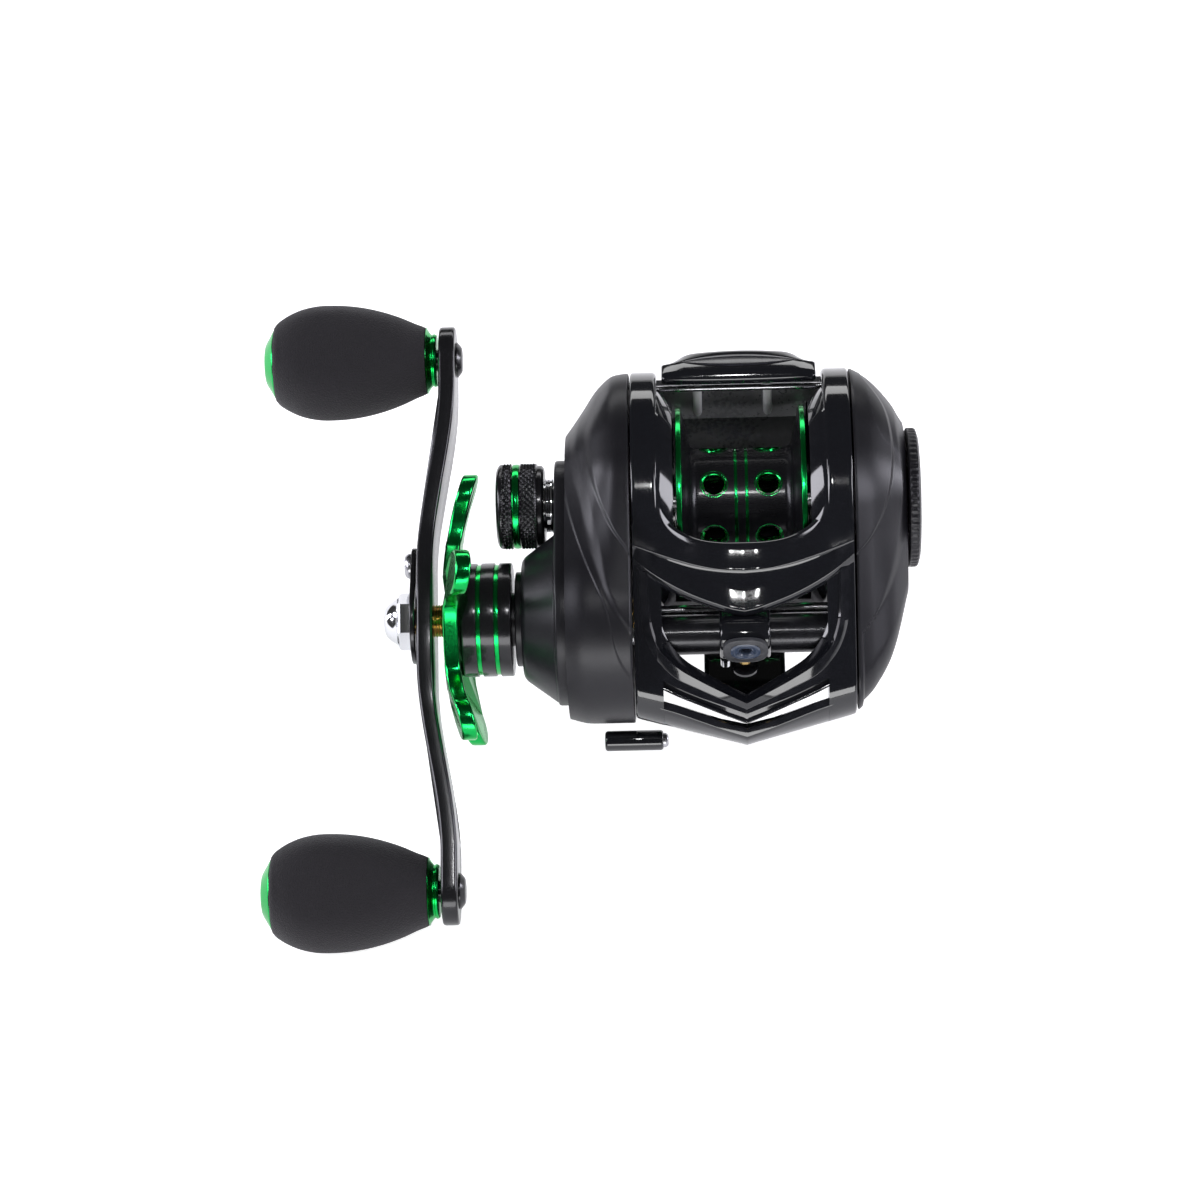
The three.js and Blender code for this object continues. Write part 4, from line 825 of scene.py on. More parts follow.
class FrontSkin:
    """The skin of the hood and nose, measured by how far down it a point lies."""

    def __init__(self, outline: Outline) -> None:
        """Keeps the outline.

        Args:
            outline: the body's outline.
        """
        self.outline = outline
        self.kept: dict[float, tuple[np.ndarray, ...]] = {}

    def section(self, x: float) -> tuple[np.ndarray, ...]:
        """The skin cut at some x.

        Args:
            x: where it is cut.

        Returns:
            The distance down the skin, y, z, the way it faces and its place up the slope.
        """
        key = round(abs(x), 3)
        if key not in self.kept:
            points, facing = wrapped(
                self.outline.front_rounds(key), math.radians(60), math.radians(260), 900
            )
            travel = np.concatenate([[0], np.cumsum(np.linalg.norm(np.diff(points, axis=0), axis=1))])
            up = points @ np.array([math.cos(SLOPE), math.sin(SLOPE)])
            down = travel - np.interp(math.radians(130), facing, travel)
            self.kept[key] = (down, points[:, 0], points[:, 1], facing, up)
        return self.kept[key]

    def point(self, x: float, up: float, height: float, further: float = 0.0) -> np.ndarray:
        """A point over the skin.

        Args:
            x: its place across the reel.
            up: its place up the slope.
            height: how far it stands out from the skin.
            further: how much further down the skin it lies than that place.

        Returns:
            The point (x, y, z).
        """
        down, ys, zs, facing, ups = self.section(x)
        top = int(ups.argmax())
        low = int(ups.argmin())
        t = np.interp(-up, -ups[top:low + 1], down[top:low + 1]) + further
        turn = np.interp(t, down, facing)
        y = np.interp(t, down, ys) + height * math.cos(turn)
        z = np.interp(t, down, zs) + height * math.sin(turn)
        return np.array([x, y, z])


@dataclass(frozen=True)
class Trace:
    """A line across the front of the reel, drawn for its palm half and mirrored."""

    across: tuple[float, ...]
    up: tuple[float, ...]

    def sampled(self, count: int) -> tuple[np.ndarray, np.ndarray]:
        """Points along the line from the handle side to the palm side.

        Args:
            count: points on each half.

        Returns:
            Their places across and up the slope.
        """
        across, up = np.array(self.across), np.array(self.up)
        travel = np.concatenate([[0], np.cumsum(np.hypot(np.diff(across), np.diff(up)))])
        even = np.linspace(0, travel[-1], count)
        x, u = flowing(even, travel, across), flowing(even, travel, up)
        return np.concatenate([-x[::-1], x[1:]]), np.concatenate([u[::-1], u[1:]])


def band(skin: FrontSkin, rows: Sequence[tuple[Trace, float, float]], count: int = 72) -> np.ndarray:
    """Rows of points over the front skin, one row for each trace.

    Args:
        skin: the skin.
        rows: each trace, how far the row stands out, and how much further down it lies.
        count: points on each half of a row.

    Returns:
        The points, as (rows, columns, 3).
    """
    out = []
    for trace, height, further in rows:
        across, up = trace.sampled(count)
        out.append([skin.point(x, u, height, further) for x, u in zip(across, up)])
    return np.array(out)


def closed_band(draft: Draft, rows: np.ndarray) -> Draft:
    """Closes rows of points into a solid strip with flat ends.

    Args:
        draft: where the strip goes.
        rows: the points round the strip's section, as (rows, columns, 3).

    Returns:
        The draft.
    """
    draft.grid(rows, round_rows=False, round_all=True)
    draft.lid(rows[:, 0])
    return draft.lid(rows[:, -1])


# ------------------------------------------------------------------ frame and hood


@dataclass
class Frame:
    """The gloss black frame: side plates, back wall, bezel, chevron bar and lip."""

    outline: Outline
    skin: FrontSkin
    plate_edge: float = 0.9
    well: float = 17.5
    dish: float = 20.1
    dish_start: float = 12.0
    wall: float = 2.6
    slot_wall: float = 0.9
    window_edge: Trace = Trace(
        (0, 3.5, 7, 10.6, 13.0, 14.4, 14.9, 15.0), (-33.4, -31.6, -29.6, -27.3, -24.6, -21.4, -17.5, -12.4)
    )
    bezel_top: Trace = Trace(
        (0, 4, 8, 12, 15.0, 16.4, 16.8, 16.8), (-35.0, -33.1, -31.0, -28.5, -25.4, -21.6, -17.5, -11.9)
    )
    bezel_foot: Trace = Trace(
        (0, 4, 8, 12.6, 16.0, 17.7, 18.2, 18.2), (-36.1, -34.4, -32.6, -30.2, -26.6, -22.4, -17.5, -11.6)
    )
    groove_top: Trace = Trace((0, 4, 8, 12, 15.4), (-37.2, -35.6, -34.0, -32.2, -30.5))
    groove_foot: Trace = Trace((0, 4, 8, 12, 15.0), (-38.3, -36.7, -35.0, -33.2, -31.7))
    slot_top: Trace = Trace((0, 4, 8, 12, 15.0), (-38.7, -37.1, -35.4, -33.7, -32.2))
    slot_foot: Trace = Trace((0, 4, 8, 12, 15.0), (-40.2, -38.8, -37.2, -35.6, -34.6))
    back_wall: tuple[Corner, ...] = ((20.2, 5.4, 0.8), (22.6, 8.0, 0.6))

    def plate(self, side: int) -> bpy.types.Object:
        """Builds one side plate.

        Args:
            side: 1 for the palm side, -1 for the handle side.

        Returns:
            The plate.
        """
        inner, outer = self.outline.plate_inner, self.outline.half_width
        centre = (-6.0, -4.0)
        turn = np.linspace(-math.pi, math.pi, 420, endpoint=False)
        edge = self.plate_edge
        stations = []
        for a in np.linspace(0, math.pi / 2, 6):
            stations.append((inner + edge * (1 - math.cos(a)), edge * (1 - math.sin(a))))
        stations += [(x, 0.0) for x in np.linspace(inner + edge + 0.3, outer - 0.7, 6)]
        for a in np.linspace(math.pi / 2, 0, 5):
            stations.append((outer - 0.4 * (1 - math.cos(a)), 0.4 * (1 - math.sin(a))))
        rings = []
        for x, inset in stations:
            r = polar_outline(self.outline.plate_rounds(x), centre, turn) - inset
            y, z = centre[0] + r * np.cos(turn), centre[1] + r * np.sin(turn)
            z = np.maximum(z, -19.8)
            rings.append(np.column_stack([np.full(len(turn), side * x), y, z]))
        name = "frame_plate_palm" if side > 0 else "frame_plate_handle"
        piece = Draft().loft(np.array(rings)).built(name, GLOSS_BLACK, Body.REEL, ["frame"])
        tube, rod, pin = (Span.of(n) for n in ("worm_tube", "guide_rod", "thumb_guide_pin"))
        deep = side * (outer + 1)
        holes = [
            bore(side * (inner - 1), side * (inner + 1.2), tube.radius + 0.05, tube.axis),
            bore(side * (inner - 1), side * (inner + 1.2), rod.radius + 0.05, rod.axis),
            bore(side * (inner - 1), side * (inner + 1.2), pin.radius + 0.05, pin.axis),
        ]
        if side > 0:
            holes.append(bore(inner - 1, deep, self.well, (0, 0)))
        else:
            shaft, gear = Span.of("shaft_bearing"), Span.of("worm_gear")
            holes.append(bore(deep, -inner + 1, 5.1, (0, 0)))
            holes.append(bore(deep, -inner + 1, shaft.radius + 0.1, shaft.axis))
            holes.append(bore(deep, -inner + 1, gear.radius, gear.axis))
        return drilled(piece, holes)

    def dish_ring(self, side: int) -> bpy.types.Object:
        """Builds the sloping wall between a plate's inner edge and the spool's rim.

        Args:
            side: 1 for the palm side, -1 for the handle side.

        Returns:
            The ring.
        """
        turn = np.linspace(-math.pi, math.pi, 300, endpoint=False)
        limit = polar_outline(self.outline.plate_rounds(self.outline.plate_inner), (0, 0), turn) - 0.25
        upper = np.minimum(self.dish, limit)
        inner = self.outline.plate_inner
        rows = []
        for x, share in ((self.dish_start, 0), (self.dish_start + 0.1, 0.05), (inner - 0.5, 0.85),
                         (inner + 0.2, 1), (inner + 0.6, 1), (inner + 0.6, 0), (inner, 0)):
            r = self.well + 0.1 + (upper - self.well - 0.1) * share
            rows.append(np.column_stack([np.full(len(turn), side * x), r * np.cos(turn), r * np.sin(turn)]))
        name = "frame_dish_palm" if side > 0 else "frame_dish_handle"
        return Draft().grid(np.array(rows), round_all=True).built(
            name, GLOSS_BLACK, Body.REEL, ["frame"], sharp=30
        )

    def back(self) -> bpy.types.Object:
        """Builds the wall behind and under the spool, with its deck, whose grey colour is a painted sheen.

        Returns:
            The wall.
        """
        inner = self.outline.plate_inner + 0.2
        swept = np.radians(np.linspace(9, -142, 80))
        well = self.well + 0.15
        bore_line = np.column_stack([well * np.cos(swept), well * np.sin(swept)])
        turn = np.radians(np.linspace(-132, 15, 70))
        r = polar_outline(self.outline.plate_rounds(self.outline.plate_inner), (0, 0), turn) - 0.9
        skin = np.column_stack([r * np.cos(turn), np.maximum(r * np.sin(turn), -19.7)])
        deck = rounded([(*skin[-1], 0), *self.back_wall[::-1], (*bore_line[0], 0)], closed=False)
        loop = np.vstack([bore_line, skin, deck[1:-1]])
        # The deck is given the grey painted sheen in place of plain gloss black.
        return Draft().prism(loop, -inner, inner).built(
            "frame_back", DECK_PAINTED_SHEEN, Body.REEL, ["frame"], sharp=28
        )

    def bezel(self) -> bpy.types.Object:
        """Builds the bright-edged band round the line window.

        Returns:
            The bezel.
        """
        rows = [
            (self.window_edge, -1.5, 0.0), (self.window_edge, -1.35, 0.0), (self.window_edge, -1.15, 0.05),
            (self.bezel_top, 0.30, -0.1), (self.bezel_top, 0.52, 0.05), (self.bezel_foot, 0.02, -0.15),
            (self.bezel_foot, -0.05, 0.0), (self.bezel_foot, -0.35, 0.1), (self.bezel_foot, -1.0, 0.1),
        ]
        return closed_band(Draft(), band(self.skin, rows)).built(
            "frame_bezel", GLOSS_BLACK, Body.REEL, ["frame"], sharp=50
        )

    def bar(self) -> bpy.types.Object:
        """Builds the chevron bar between the window and the slot, with its groove.

        Returns:
            The bar.
        """
        rows = [
            (self.bezel_foot_low(), -0.1, -0.6),
            (self.groove_top, 0.0, -0.35), (self.groove_top, -0.05, -0.1),
            (self.groove_top, -0.75, 0.15), (self.groove_foot, -0.75, -0.25),
            (self.groove_foot, -0.1, -0.05),
            (self.groove_foot, 0.0, 0.1), (self.slot_top, 0.0, -0.12), (self.slot_top, -0.15, 0.0),
            (self.slot_top, -self.slot_wall, 0.0), (self.bezel_foot_low(), -self.wall, -0.6),
        ]
        return closed_band(Draft(), band(self.skin, rows)).built(
            "frame_bar", GLOSS_BLACK, Body.REEL, ["frame"], sharp=50
        )

    def bezel_foot_low(self) -> Trace:
        """The lower part of the bezel's outer line, which the bar starts from."""
        return Trace((0, 4, 8, 12.6, 16.0), (-36.1, -34.4, -32.6, -30.2, -27.2))

    def lip(self) -> bpy.types.Object:
        """Builds the lip under the slot, which ends the nose.

        Returns:
            The lip.
        """
        rows = [
            (self.slot_foot, -self.wall, 1.6), (self.slot_foot, -0.9, 0.05), (self.slot_foot, -0.7, 0.05),
            (self.slot_foot, 0.0, 1.1), (self.slot_foot, 0.1, 1.35), (self.slot_foot, 0.0, 2.4),
            (self.slot_foot, 0.0, 3.6), (self.slot_foot, 0.0, 5.2), (self.slot_foot, 0.0, 7.0),
            (self.slot_foot, 0.0, 9.0), (self.slot_foot, 0.0, 11.0), (self.slot_foot, -0.2, 11.3),
            (self.slot_foot, -self.wall, 11.3), (self.slot_foot, -self.wall, 6.0),
        ]
        return closed_band(Draft(), band(self.skin, rows)).built(
            "frame_lip", GLOSS_BLACK, Body.REEL, ["frame"], sharp=50
        )

    def cheek(self, side: int) -> bpy.types.Object:
        """Builds the solid skin beside the window and slot, up to the side plate.

        Args:
            side: 1 for the palm side, -1 for the handle side.

        Returns:
            The cheek.
        """
        xs = np.linspace(self.outline.plate_inner - 0.2, self.outline.half_width - 0.7, 12) * side
        ups = np.linspace(-10.5, -33.5, 60)
        rows = []
        for x in xs:
            outer = [self.skin.point(x, u, 0.03) for u in ups]
            outer += [self.skin.point(x, ups[-1], 0.03, more) for more in np.linspace(0.5, 14, 24)]
            inner = [self.skin.point(x, ups[-1], -self.wall, more) for more in np.linspace(14, 0.5, 24)]
            inner += [self.skin.point(x, u, -self.wall) for u in ups[::-1]]
            rows.append(outer + inner)
        name = "frame_cheek_palm" if side > 0 else "frame_cheek_handle"
        return Draft().loft(np.array(rows)).built(name, GLOSS_BLACK, Body.REEL, ["frame"], sharp=50)

    def build(self) -> None:
        """Builds every piece of the frame."""
        for side in (-1, 1):
            self.plate(side)
            self.dish_ring(side)
            self.cheek(side)
        self.back()
        self.bezel()
        self.bar()
        self.lip()


@dataclass
class Hood:
    """The gloss hood over the level wind, with two ridges that catch the light."""

    outline: Outline
    skin: FrontSkin
    thickness: float = 1.1
    opening: Trace = Trace(
        (0, 4, 7.5, 10.2, 12.4, 14.0, 14.8, 15.0), (-7.0, -6.9, -6.3, -5.2, -3.6, -1.4, 1.2, 3.4)
    )
    opening_top: Trace = Trace(
        (0, 4, 7.7, 10.6, 13.0, 14.9, 15.9, 16.2), (-7.5, -7.4, -6.8, -5.7, -4.1, -1.7, 1.2, 3.4)
    )
    ridge: Trace = Trace((0, 4, 8, 12, 16, 19.2), (-12.0, -11.7, -10.9, -9.7, -8.3, -7.1))
    brow: Trace = Trace((0, 1.6, 5, 9, 13, 16.5, 19.2), (-19.0, -18.7, -17.6, -16.0, -13.9, -11.6, -9.4))
    front: Trace = Trace((0, 1.6, 5, 9, 13, 16.5, 19.2), (-20.0, -19.7, -18.6, -17.1, -15.2, -13.2, -11.3))

    def build(self) -> None:
        """Builds the hood."""
        rows = [
            (self.opening, -self.thickness, 0), (self.opening, -0.35, 0), (self.opening_top, 0.0, 0),
            (self.ridge, 0.10, -3.4), (self.ridge, 0.42, -0.35), (self.ridge, 0.50, -0.12),
            (self.ridge, 0.42, 0.12), (self.ridge, 0.05, 0.5),
            (self.brow, 0.22, -3.2), (self.brow, 0.62, -0.4),
            (self.brow, 0.68, -0.1), (self.brow, 0.56, 0.16),
            (self.front, -0.2, -0.1), (self.front, -0.42, 0.0),
            (self.front, -self.thickness, 0.0),
        ]
        closed_band(Draft(), band(self.skin, rows, 90)).built(
            "hood", GLOSS_BLACK, Body.REEL, ["front_hood"], sharp=60
        )


# ------------------------------------------------------------------ side covers


@dataclass(frozen=True)
class Swoosh:
    """A sculpted step that sweeps down a cover: the skin drops by its depth across it."""

    up: tuple[float, ...]
    start: tuple[float, ...]
    width: tuple[float, ...]
    depth: float

    def drop(self, x: np.ndarray, up: np.ndarray) -> np.ndarray:
        """How far the skin has dropped at each point.

        Args:
            x: distance out from the middle of the reel.
            up: place up the slope.

        Returns:
            The drop.
        """
        start = flowing(up, self.up, self.start)
        width = np.maximum(flowing(up, self.up, self.width), 0.25)
        return self.depth * eased(x, start, start + width)


@dataclass
class Cover:
    """One side cover: a skin through wrapped outlines with sculpted steps."""

    name: str
    node: str
    side: int
    centre: Place
    stations: tuple[float, ...]
    rounds: Callable[[float], list[Round]]
    swooshes: tuple[Swoosh, ...]
    edge: float = 0.45
    samples: int = 460
    layers: int = 84

    def build(self) -> bpy.types.Object:
        """Builds the cover's shell.

        Returns:
            The shell.
        """
        turn = np.linspace(-math.pi, math.pi, self.samples, endpoint=False)
        first, last = self.stations[0], self.stations[-1]
        rings = []
        for a in np.linspace(0, math.pi / 2, 4)[:-1]:
            rings.append((first + self.edge * (1 - math.cos(a)), self.edge * (1 - math.sin(a))))
        rings += [(x, 0.0) for x in np.linspace(first + self.edge, last, self.layers)]
        rows = []
        for x, inset in rings:
            r = polar_outline(self.rounds(x), self.centre, turn) - inset
            y, z = self.centre[0] + r * np.cos(turn), self.centre[1] + r * np.sin(turn)
            up = y * math.cos(SLOPE) + z * math.sin(SLOPE)
            out = -y * math.sin(SLOPE) + z * math.cos(SLOPE)
            seen = eased(out, -6.0, 3.0)
            drop = sum(s.drop(np.full_like(up, x), up) for s in self.swooshes) * seen
            r = r - drop
            rows.append(np.column_stack([
                np.full(len(turn), self.side * x), self.centre[0] + r * np.cos(turn),
                self.centre[1] + r * np.sin(turn)
            ]))
        inner = rows[-1].copy()
        middle = np.array([self.side * (last - 0.4), *self.centre])
        rows.append(middle + (inner - middle) * 0.5)
        skin = np.array(rows)
        hollow = skin[0] * [1, 0.94, 0.94] + [self.side * 0.02, 0, 0]
        deep = hollow + [self.side * 1.2, 0, 0]
        draft = Draft().grid(np.vstack([[deep], [hollow], skin]))
        draft.lid(skin[-1])
        return draft.built(self.name, SATIN_GRAPHITE, Body.REEL, [self.node], sharp=42)


def handle_cover() -> Cover:
    """Lays out the handle side cover from the body's and the drive's places.

    Returns:
        The cover.
    """
    drive = Span.of("drive_gear")
    y, z = drive.axis
    bulge = drive.radius + 1.5
    knots = (19.6, 23.2, 25.6, 28.0, 31.1)
    back, offset = (20, 19.2, 17.3, 14.4, 11.2), (4.5, 4.4, 4.0, 3.2, 2.0)
    nose, grown = (7.0, 6.8, 6.4, 5.6, 4.6), (bulge, bulge, bulge, bulge - 0.1, bulge - 0.9)

    def rounds(x: float) -> list[Round]:
        """The cover's circles at some x."""
        r = float(flowing(np.array(x), knots, back))
        return [
            Round(float(flowing(np.array(x), knots, offset)), 0, r),
            Round(-30.0, -12.0, float(flowing(np.array(x), knots, nose))),
            Round(y, z, float(flowing(np.array(x), knots, grown))),
            Round(0, 0, r * 0.96),
        ]

    return Cover("handle_cover", "handle_side_cover", -1, (-8.0, -4.0), (19.6, 31.1), rounds, (
        Swoosh((-12, -9, -4, 2, 7, 12.8, 20), (18.9, 19.4, 22.4, 24.9, 25.9, 25.7, 22.6),
               (0.3, 0.3, 0.4, 0.6, 1.1, 1.9, 2.2), 0.40),
        Swoosh((-25, -23, -17.7, -7, 2, 7.5, 12.8, 18), (18.6, 19.3, 22.0, 24.7, 26.7, 28.4, 28.7, 27.6),
               (0.3, 0.3, 1.2, 2.2, 2.0, 1.7, 1.6, 1.4), 0.45),
        Swoosh((-31, -29.9, -17.7, -8.8, 0, 8), (19.6, 20.4, 24.0, 27.6, 30.3, 31.6),
               (0.3, 0.3, 0.3, 0.3, 0.3, 0.3), 0.20),
    ))


def palm_cover() -> Cover:
    """Lays out the palm side cover.

    Returns:
        The cover.
    """
    knots = (19.6, 23.0, 26.6, 29.0)
    back, offset = (20, 18.2, 15.2, 12.9), (4.5, 4.2, 3.0, 1.4)
    ys, zs, nose = (-30.0, -27.4, -22.6, -15.5), (-12.0, -10.4, -7.4, -4.0), (7.0, 6.4, 4.8, 3.4)

    def rounds(x: float) -> list[Round]:
        """The cover's circles at some x."""
        at = np.array(x)
        r = float(flowing(at, knots, back))
        return [
            Round(float(flowing(at, knots, offset)), 0, r),
            Round(*(float(flowing(at, knots, v)) for v in (ys, zs, nose))),
            Round(0, 0, r * 0.96),
        ]

    return Cover("palm_cover", "palm_side_cover", 1, (-3.0, -1.0), (19.6, 29.0), rounds, (
        Swoosh((-10, -8.5, -4.7, -1.1, 6, 11.3, 16.7, 22), (19.0, 20.6, 23.2, 24.7, 26.1, 26.1, 24.9, 21.5),
               (0.3, 0.3, 0.4, 0.5, 0.6, 0.6, 0.6, 0.6), 0.45),
        Swoosh((-24, -22.5, -15.4, -10, -4.8, 2.3, 13.1), (20.4, 21.6, 24.8, 26.4, 27.4, 28.0, 27.2),
               (0.3, 0.3, 1.5, 1.6, 1.5, 1.4, 1.4), 0.85),
    ))


@dataclass
class HandleBoss:
    """The ring, cone and neck on the handle cover that carry the drive."""

    def build(self) -> None:
        """Builds the ring with its cone and the neck."""
        low = Span.of("handle_side_cover").low.x
        axis = Span.of("drive_gear").axis
        cone_face = low + 1.2
        ring_face = cone_face + 6.0
        draft = Draft().plate([Round(0, 0, 8), Round(*axis, 15.5)], ring_face + 3.0, ring_face, 0.5)
        draft.turned([
            (ring_face + 1, 0, 0), (ring_face + 1, 15.0, 0), (ring_face - 0.05, 15.0, 0.2),
            (cone_face + 0.5, 11.0, 0.6), (cone_face, 10.2, 0.2),
            (cone_face, 8.4, 0.15), (low, 8.4, 0.3), (low, 0, 0),
        ], axis, closed=False, segments=160)
        piece = draft.built("handle_cover_boss", SATIN_GRAPHITE, Body.REEL, ["handle_side_cover"])
        drilled(piece, [bore(low - 1, ring_face + 5, 4.75, axis)])


# ------------------------------------------------------------------ spool and brake dial


@dataclass
class Spool:
    """The line spool: black drum, green rims, green grooves and ported holes."""

    hole_radius: float = 1.8
    seat_radius: float = 2.5
    hole_rows: tuple[float, float] = (-4.8, 4.8)
    first_hole: float = 50.0
    drum: float = 9.5

    def build(self) -> None:
        """Builds the drum, rims, grooves and hole seats."""
        span = Span.of("spool")
        half, rim = span.high.x, span.radius
        self.shell(half, rim)
        for side in (-1, 1):
            name = "spool_rim_palm" if side > 0 else "spool_rim_handle"
            Draft().turned([
                (side * (half - 0.95), rim - 0.25, 0), (side * (half - 0.9), rim, 0.1),
                (side * half, rim, 0.2), (side * half, rim - 1.4, 0.1),
                (side * (half - 0.75), rim - 1.6, 0),
            ], segments=160).built(name, GREEN_ANODISED, Body.SPOOL, ["spool"])
        for x in (-0.95, 0.95):
            name = "spool_groove_palm" if x > 0 else "spool_groove_handle"
            Draft().turned([
                (x - 0.26, self.drum - 0.3, 0), (x - 0.26, self.drum + 0.05, 0.04),
                (x + 0.26, self.drum + 0.05, 0.04), (x + 0.26, self.drum - 0.3, 0),
            ], segments=160).built(name, GREEN_ANODISED, Body.SPOOL, ["spool"])
        seats = Draft()
        for row in self.hole_rows:
            for i in range(6):
                seats.grid(self.seat(row, math.radians(self.first_hole + 60 * i)))
        seats.built("spool_hole_seats", GREEN_ANODISED, Body.SPOOL, ["spool"], sharp=60)

    def shell(self, half: float, rim: float) -> None:
        """Builds the drum and flanges with open holes.

        Args:
            half: half the spool's width.
            rim: radius of its rims.
        """
        drum = self.drum
        profile = rounded([
            (-half + 0.8, rim - 0.05, 0), (-half + 1.1, rim - 1.0, 0.3),
            (-9.0, drum + 0.6, 0.9), (-8.0, drum, 0.4),
            (8.0, drum, 0.4), (9.0, drum + 0.6, 0.9),
            (half - 1.1, rim - 1.0, 0.3), (half - 0.8, rim - 0.05, 0),
            (half - 0.2, rim - 1.3, 0), (9.2, drum - 1.2, 0.4),
            (-9.2, drum - 1.2, 0.4), (-half + 0.2, rim - 1.3, 0),
        ])
        fine: list[np.ndarray] = []
        for a, b in zip(profile, np.roll(profile, -1, 0)):
            steps = max(1, int(np.linalg.norm(b - a) / 0.35))
            fine += [a + (b - a) * t for t in np.linspace(0, 1, steps, endpoint=False)]
        outline = np.array(fine)
        count = 180
        turn = np.linspace(0, 2 * math.pi, count, endpoint=False)
        rows = np.stack([
            np.repeat(outline[:, :1], count, 1), outline[:, 1:] * np.cos(turn),
            outline[:, 1:] * np.sin(turn)
        ], -1)
        draft = Draft().grid(rows, round_all=True)
        flat = rows.reshape(-1, 3)
        draft.faces = [f for f in draft.faces if not self.over_hole(flat[list(f)].mean(0))]
        draft.built("spool_drum", DRUM_BLACK, Body.SPOOL, ["spool"], sharp=30)

    def over_hole(self, point: np.ndarray) -> bool:
        """Whether a point on the drum lies over one of its holes."""
        x, y, z = point
        r = math.hypot(y, z)
        if r > self.drum + 0.3:
            return False
        angle = math.degrees(math.atan2(z, y)) - self.first_hole
        away = math.radians((angle + 30) % 60 - 30) * self.drum
        return any(math.hypot(x - row, away) < self.seat_radius - 0.35 for row in self.hole_rows)

    def seat(self, row: float, angle: float) -> np.ndarray:
        """The funnel of one hole.

        Args:
            row: the hole's x.
            angle: where it is round the drum.

        Returns:
            Its rings.
        """
        around = np.linspace(0, 2 * math.pi, 40, endpoint=False)
        rings = []
        for r, sunk in ((self.seat_radius, 0.0), (self.seat_radius, -0.05), (self.seat_radius - 0.12, -0.07),
                        (self.hole_radius + 0.1, 0.28), (self.hole_radius, 0.45), (self.hole_radius, 1.35),
                        (self.hole_radius + 0.3, 1.35), (self.seat_radius, 0.5)):
            across = r * np.sin(around)
            height = np.sqrt(self.drum**2 - across**2) - sunk
            rings.append(np.column_stack([
                row + r * np.cos(around),
                height * math.cos(angle) - across * math.sin(angle),
                height * math.sin(angle) + across * math.cos(angle),
            ]))
        rings.append(rings[0])
        return np.array(rings)


@dataclass
class BrakeDial:
    """The palm-side dial, with a grip edge and a plain raised grip bar."""

    teeth: int = 60

    def build(self) -> None:
        """Builds the dial with its grip edge."""
        span = Span.of("brake_dial")
        face, rim = span.high.x, span.radius
        inner = face - 2.3

        def grip(x: np.ndarray, turn: np.ndarray) -> np.ndarray:
            """Small teeth round the rim."""
            edge = eased(x, inner + 0.3, inner + 0.5) * (1 - eased(x, face - 0.8, face - 0.5))
            return -0.16 * edge * (0.5 + 0.5 * np.cos(turn * self.teeth))

        draft = Draft().turned([
            (inner, 4.0, 0), (inner, rim - 0.4, 0.1), (inner + 0.25, rim, 0.15),
            (inner + 0.8, rim, 0), (face - 0.9, rim, 0.1),
            (face - 0.5, rim - 0.2, 0.3), (face - 0.05, rim - 1.6, 0.5), (face - 0.35, rim - 2.3, 0.3),
            (face - 0.35, rim - 4.4, 0.3), (face, rim - 4.8, 0.3), (face, 0, 0),
        ], closed=False, segments=360, shaped=grip)
        draft.plate([Round(-5.4, 0, 1.5), Round(5.4, 0, 1.5)], face - 0.3, face, 0.2, 60)
        draft.turned(
            [(span.low.x, 0, 0), (span.low.x, 4.6, 0.2), (inner + 0.2, 4.6, 0), (inner + 0.2, 0, 0)],
            closed=False
        )
        draft.built("brake_dial_cap", SATIN_GRAPHITE, Body.DIAL, ["brake_dial"])


# ------------------------------------------------------------------ thumb bar


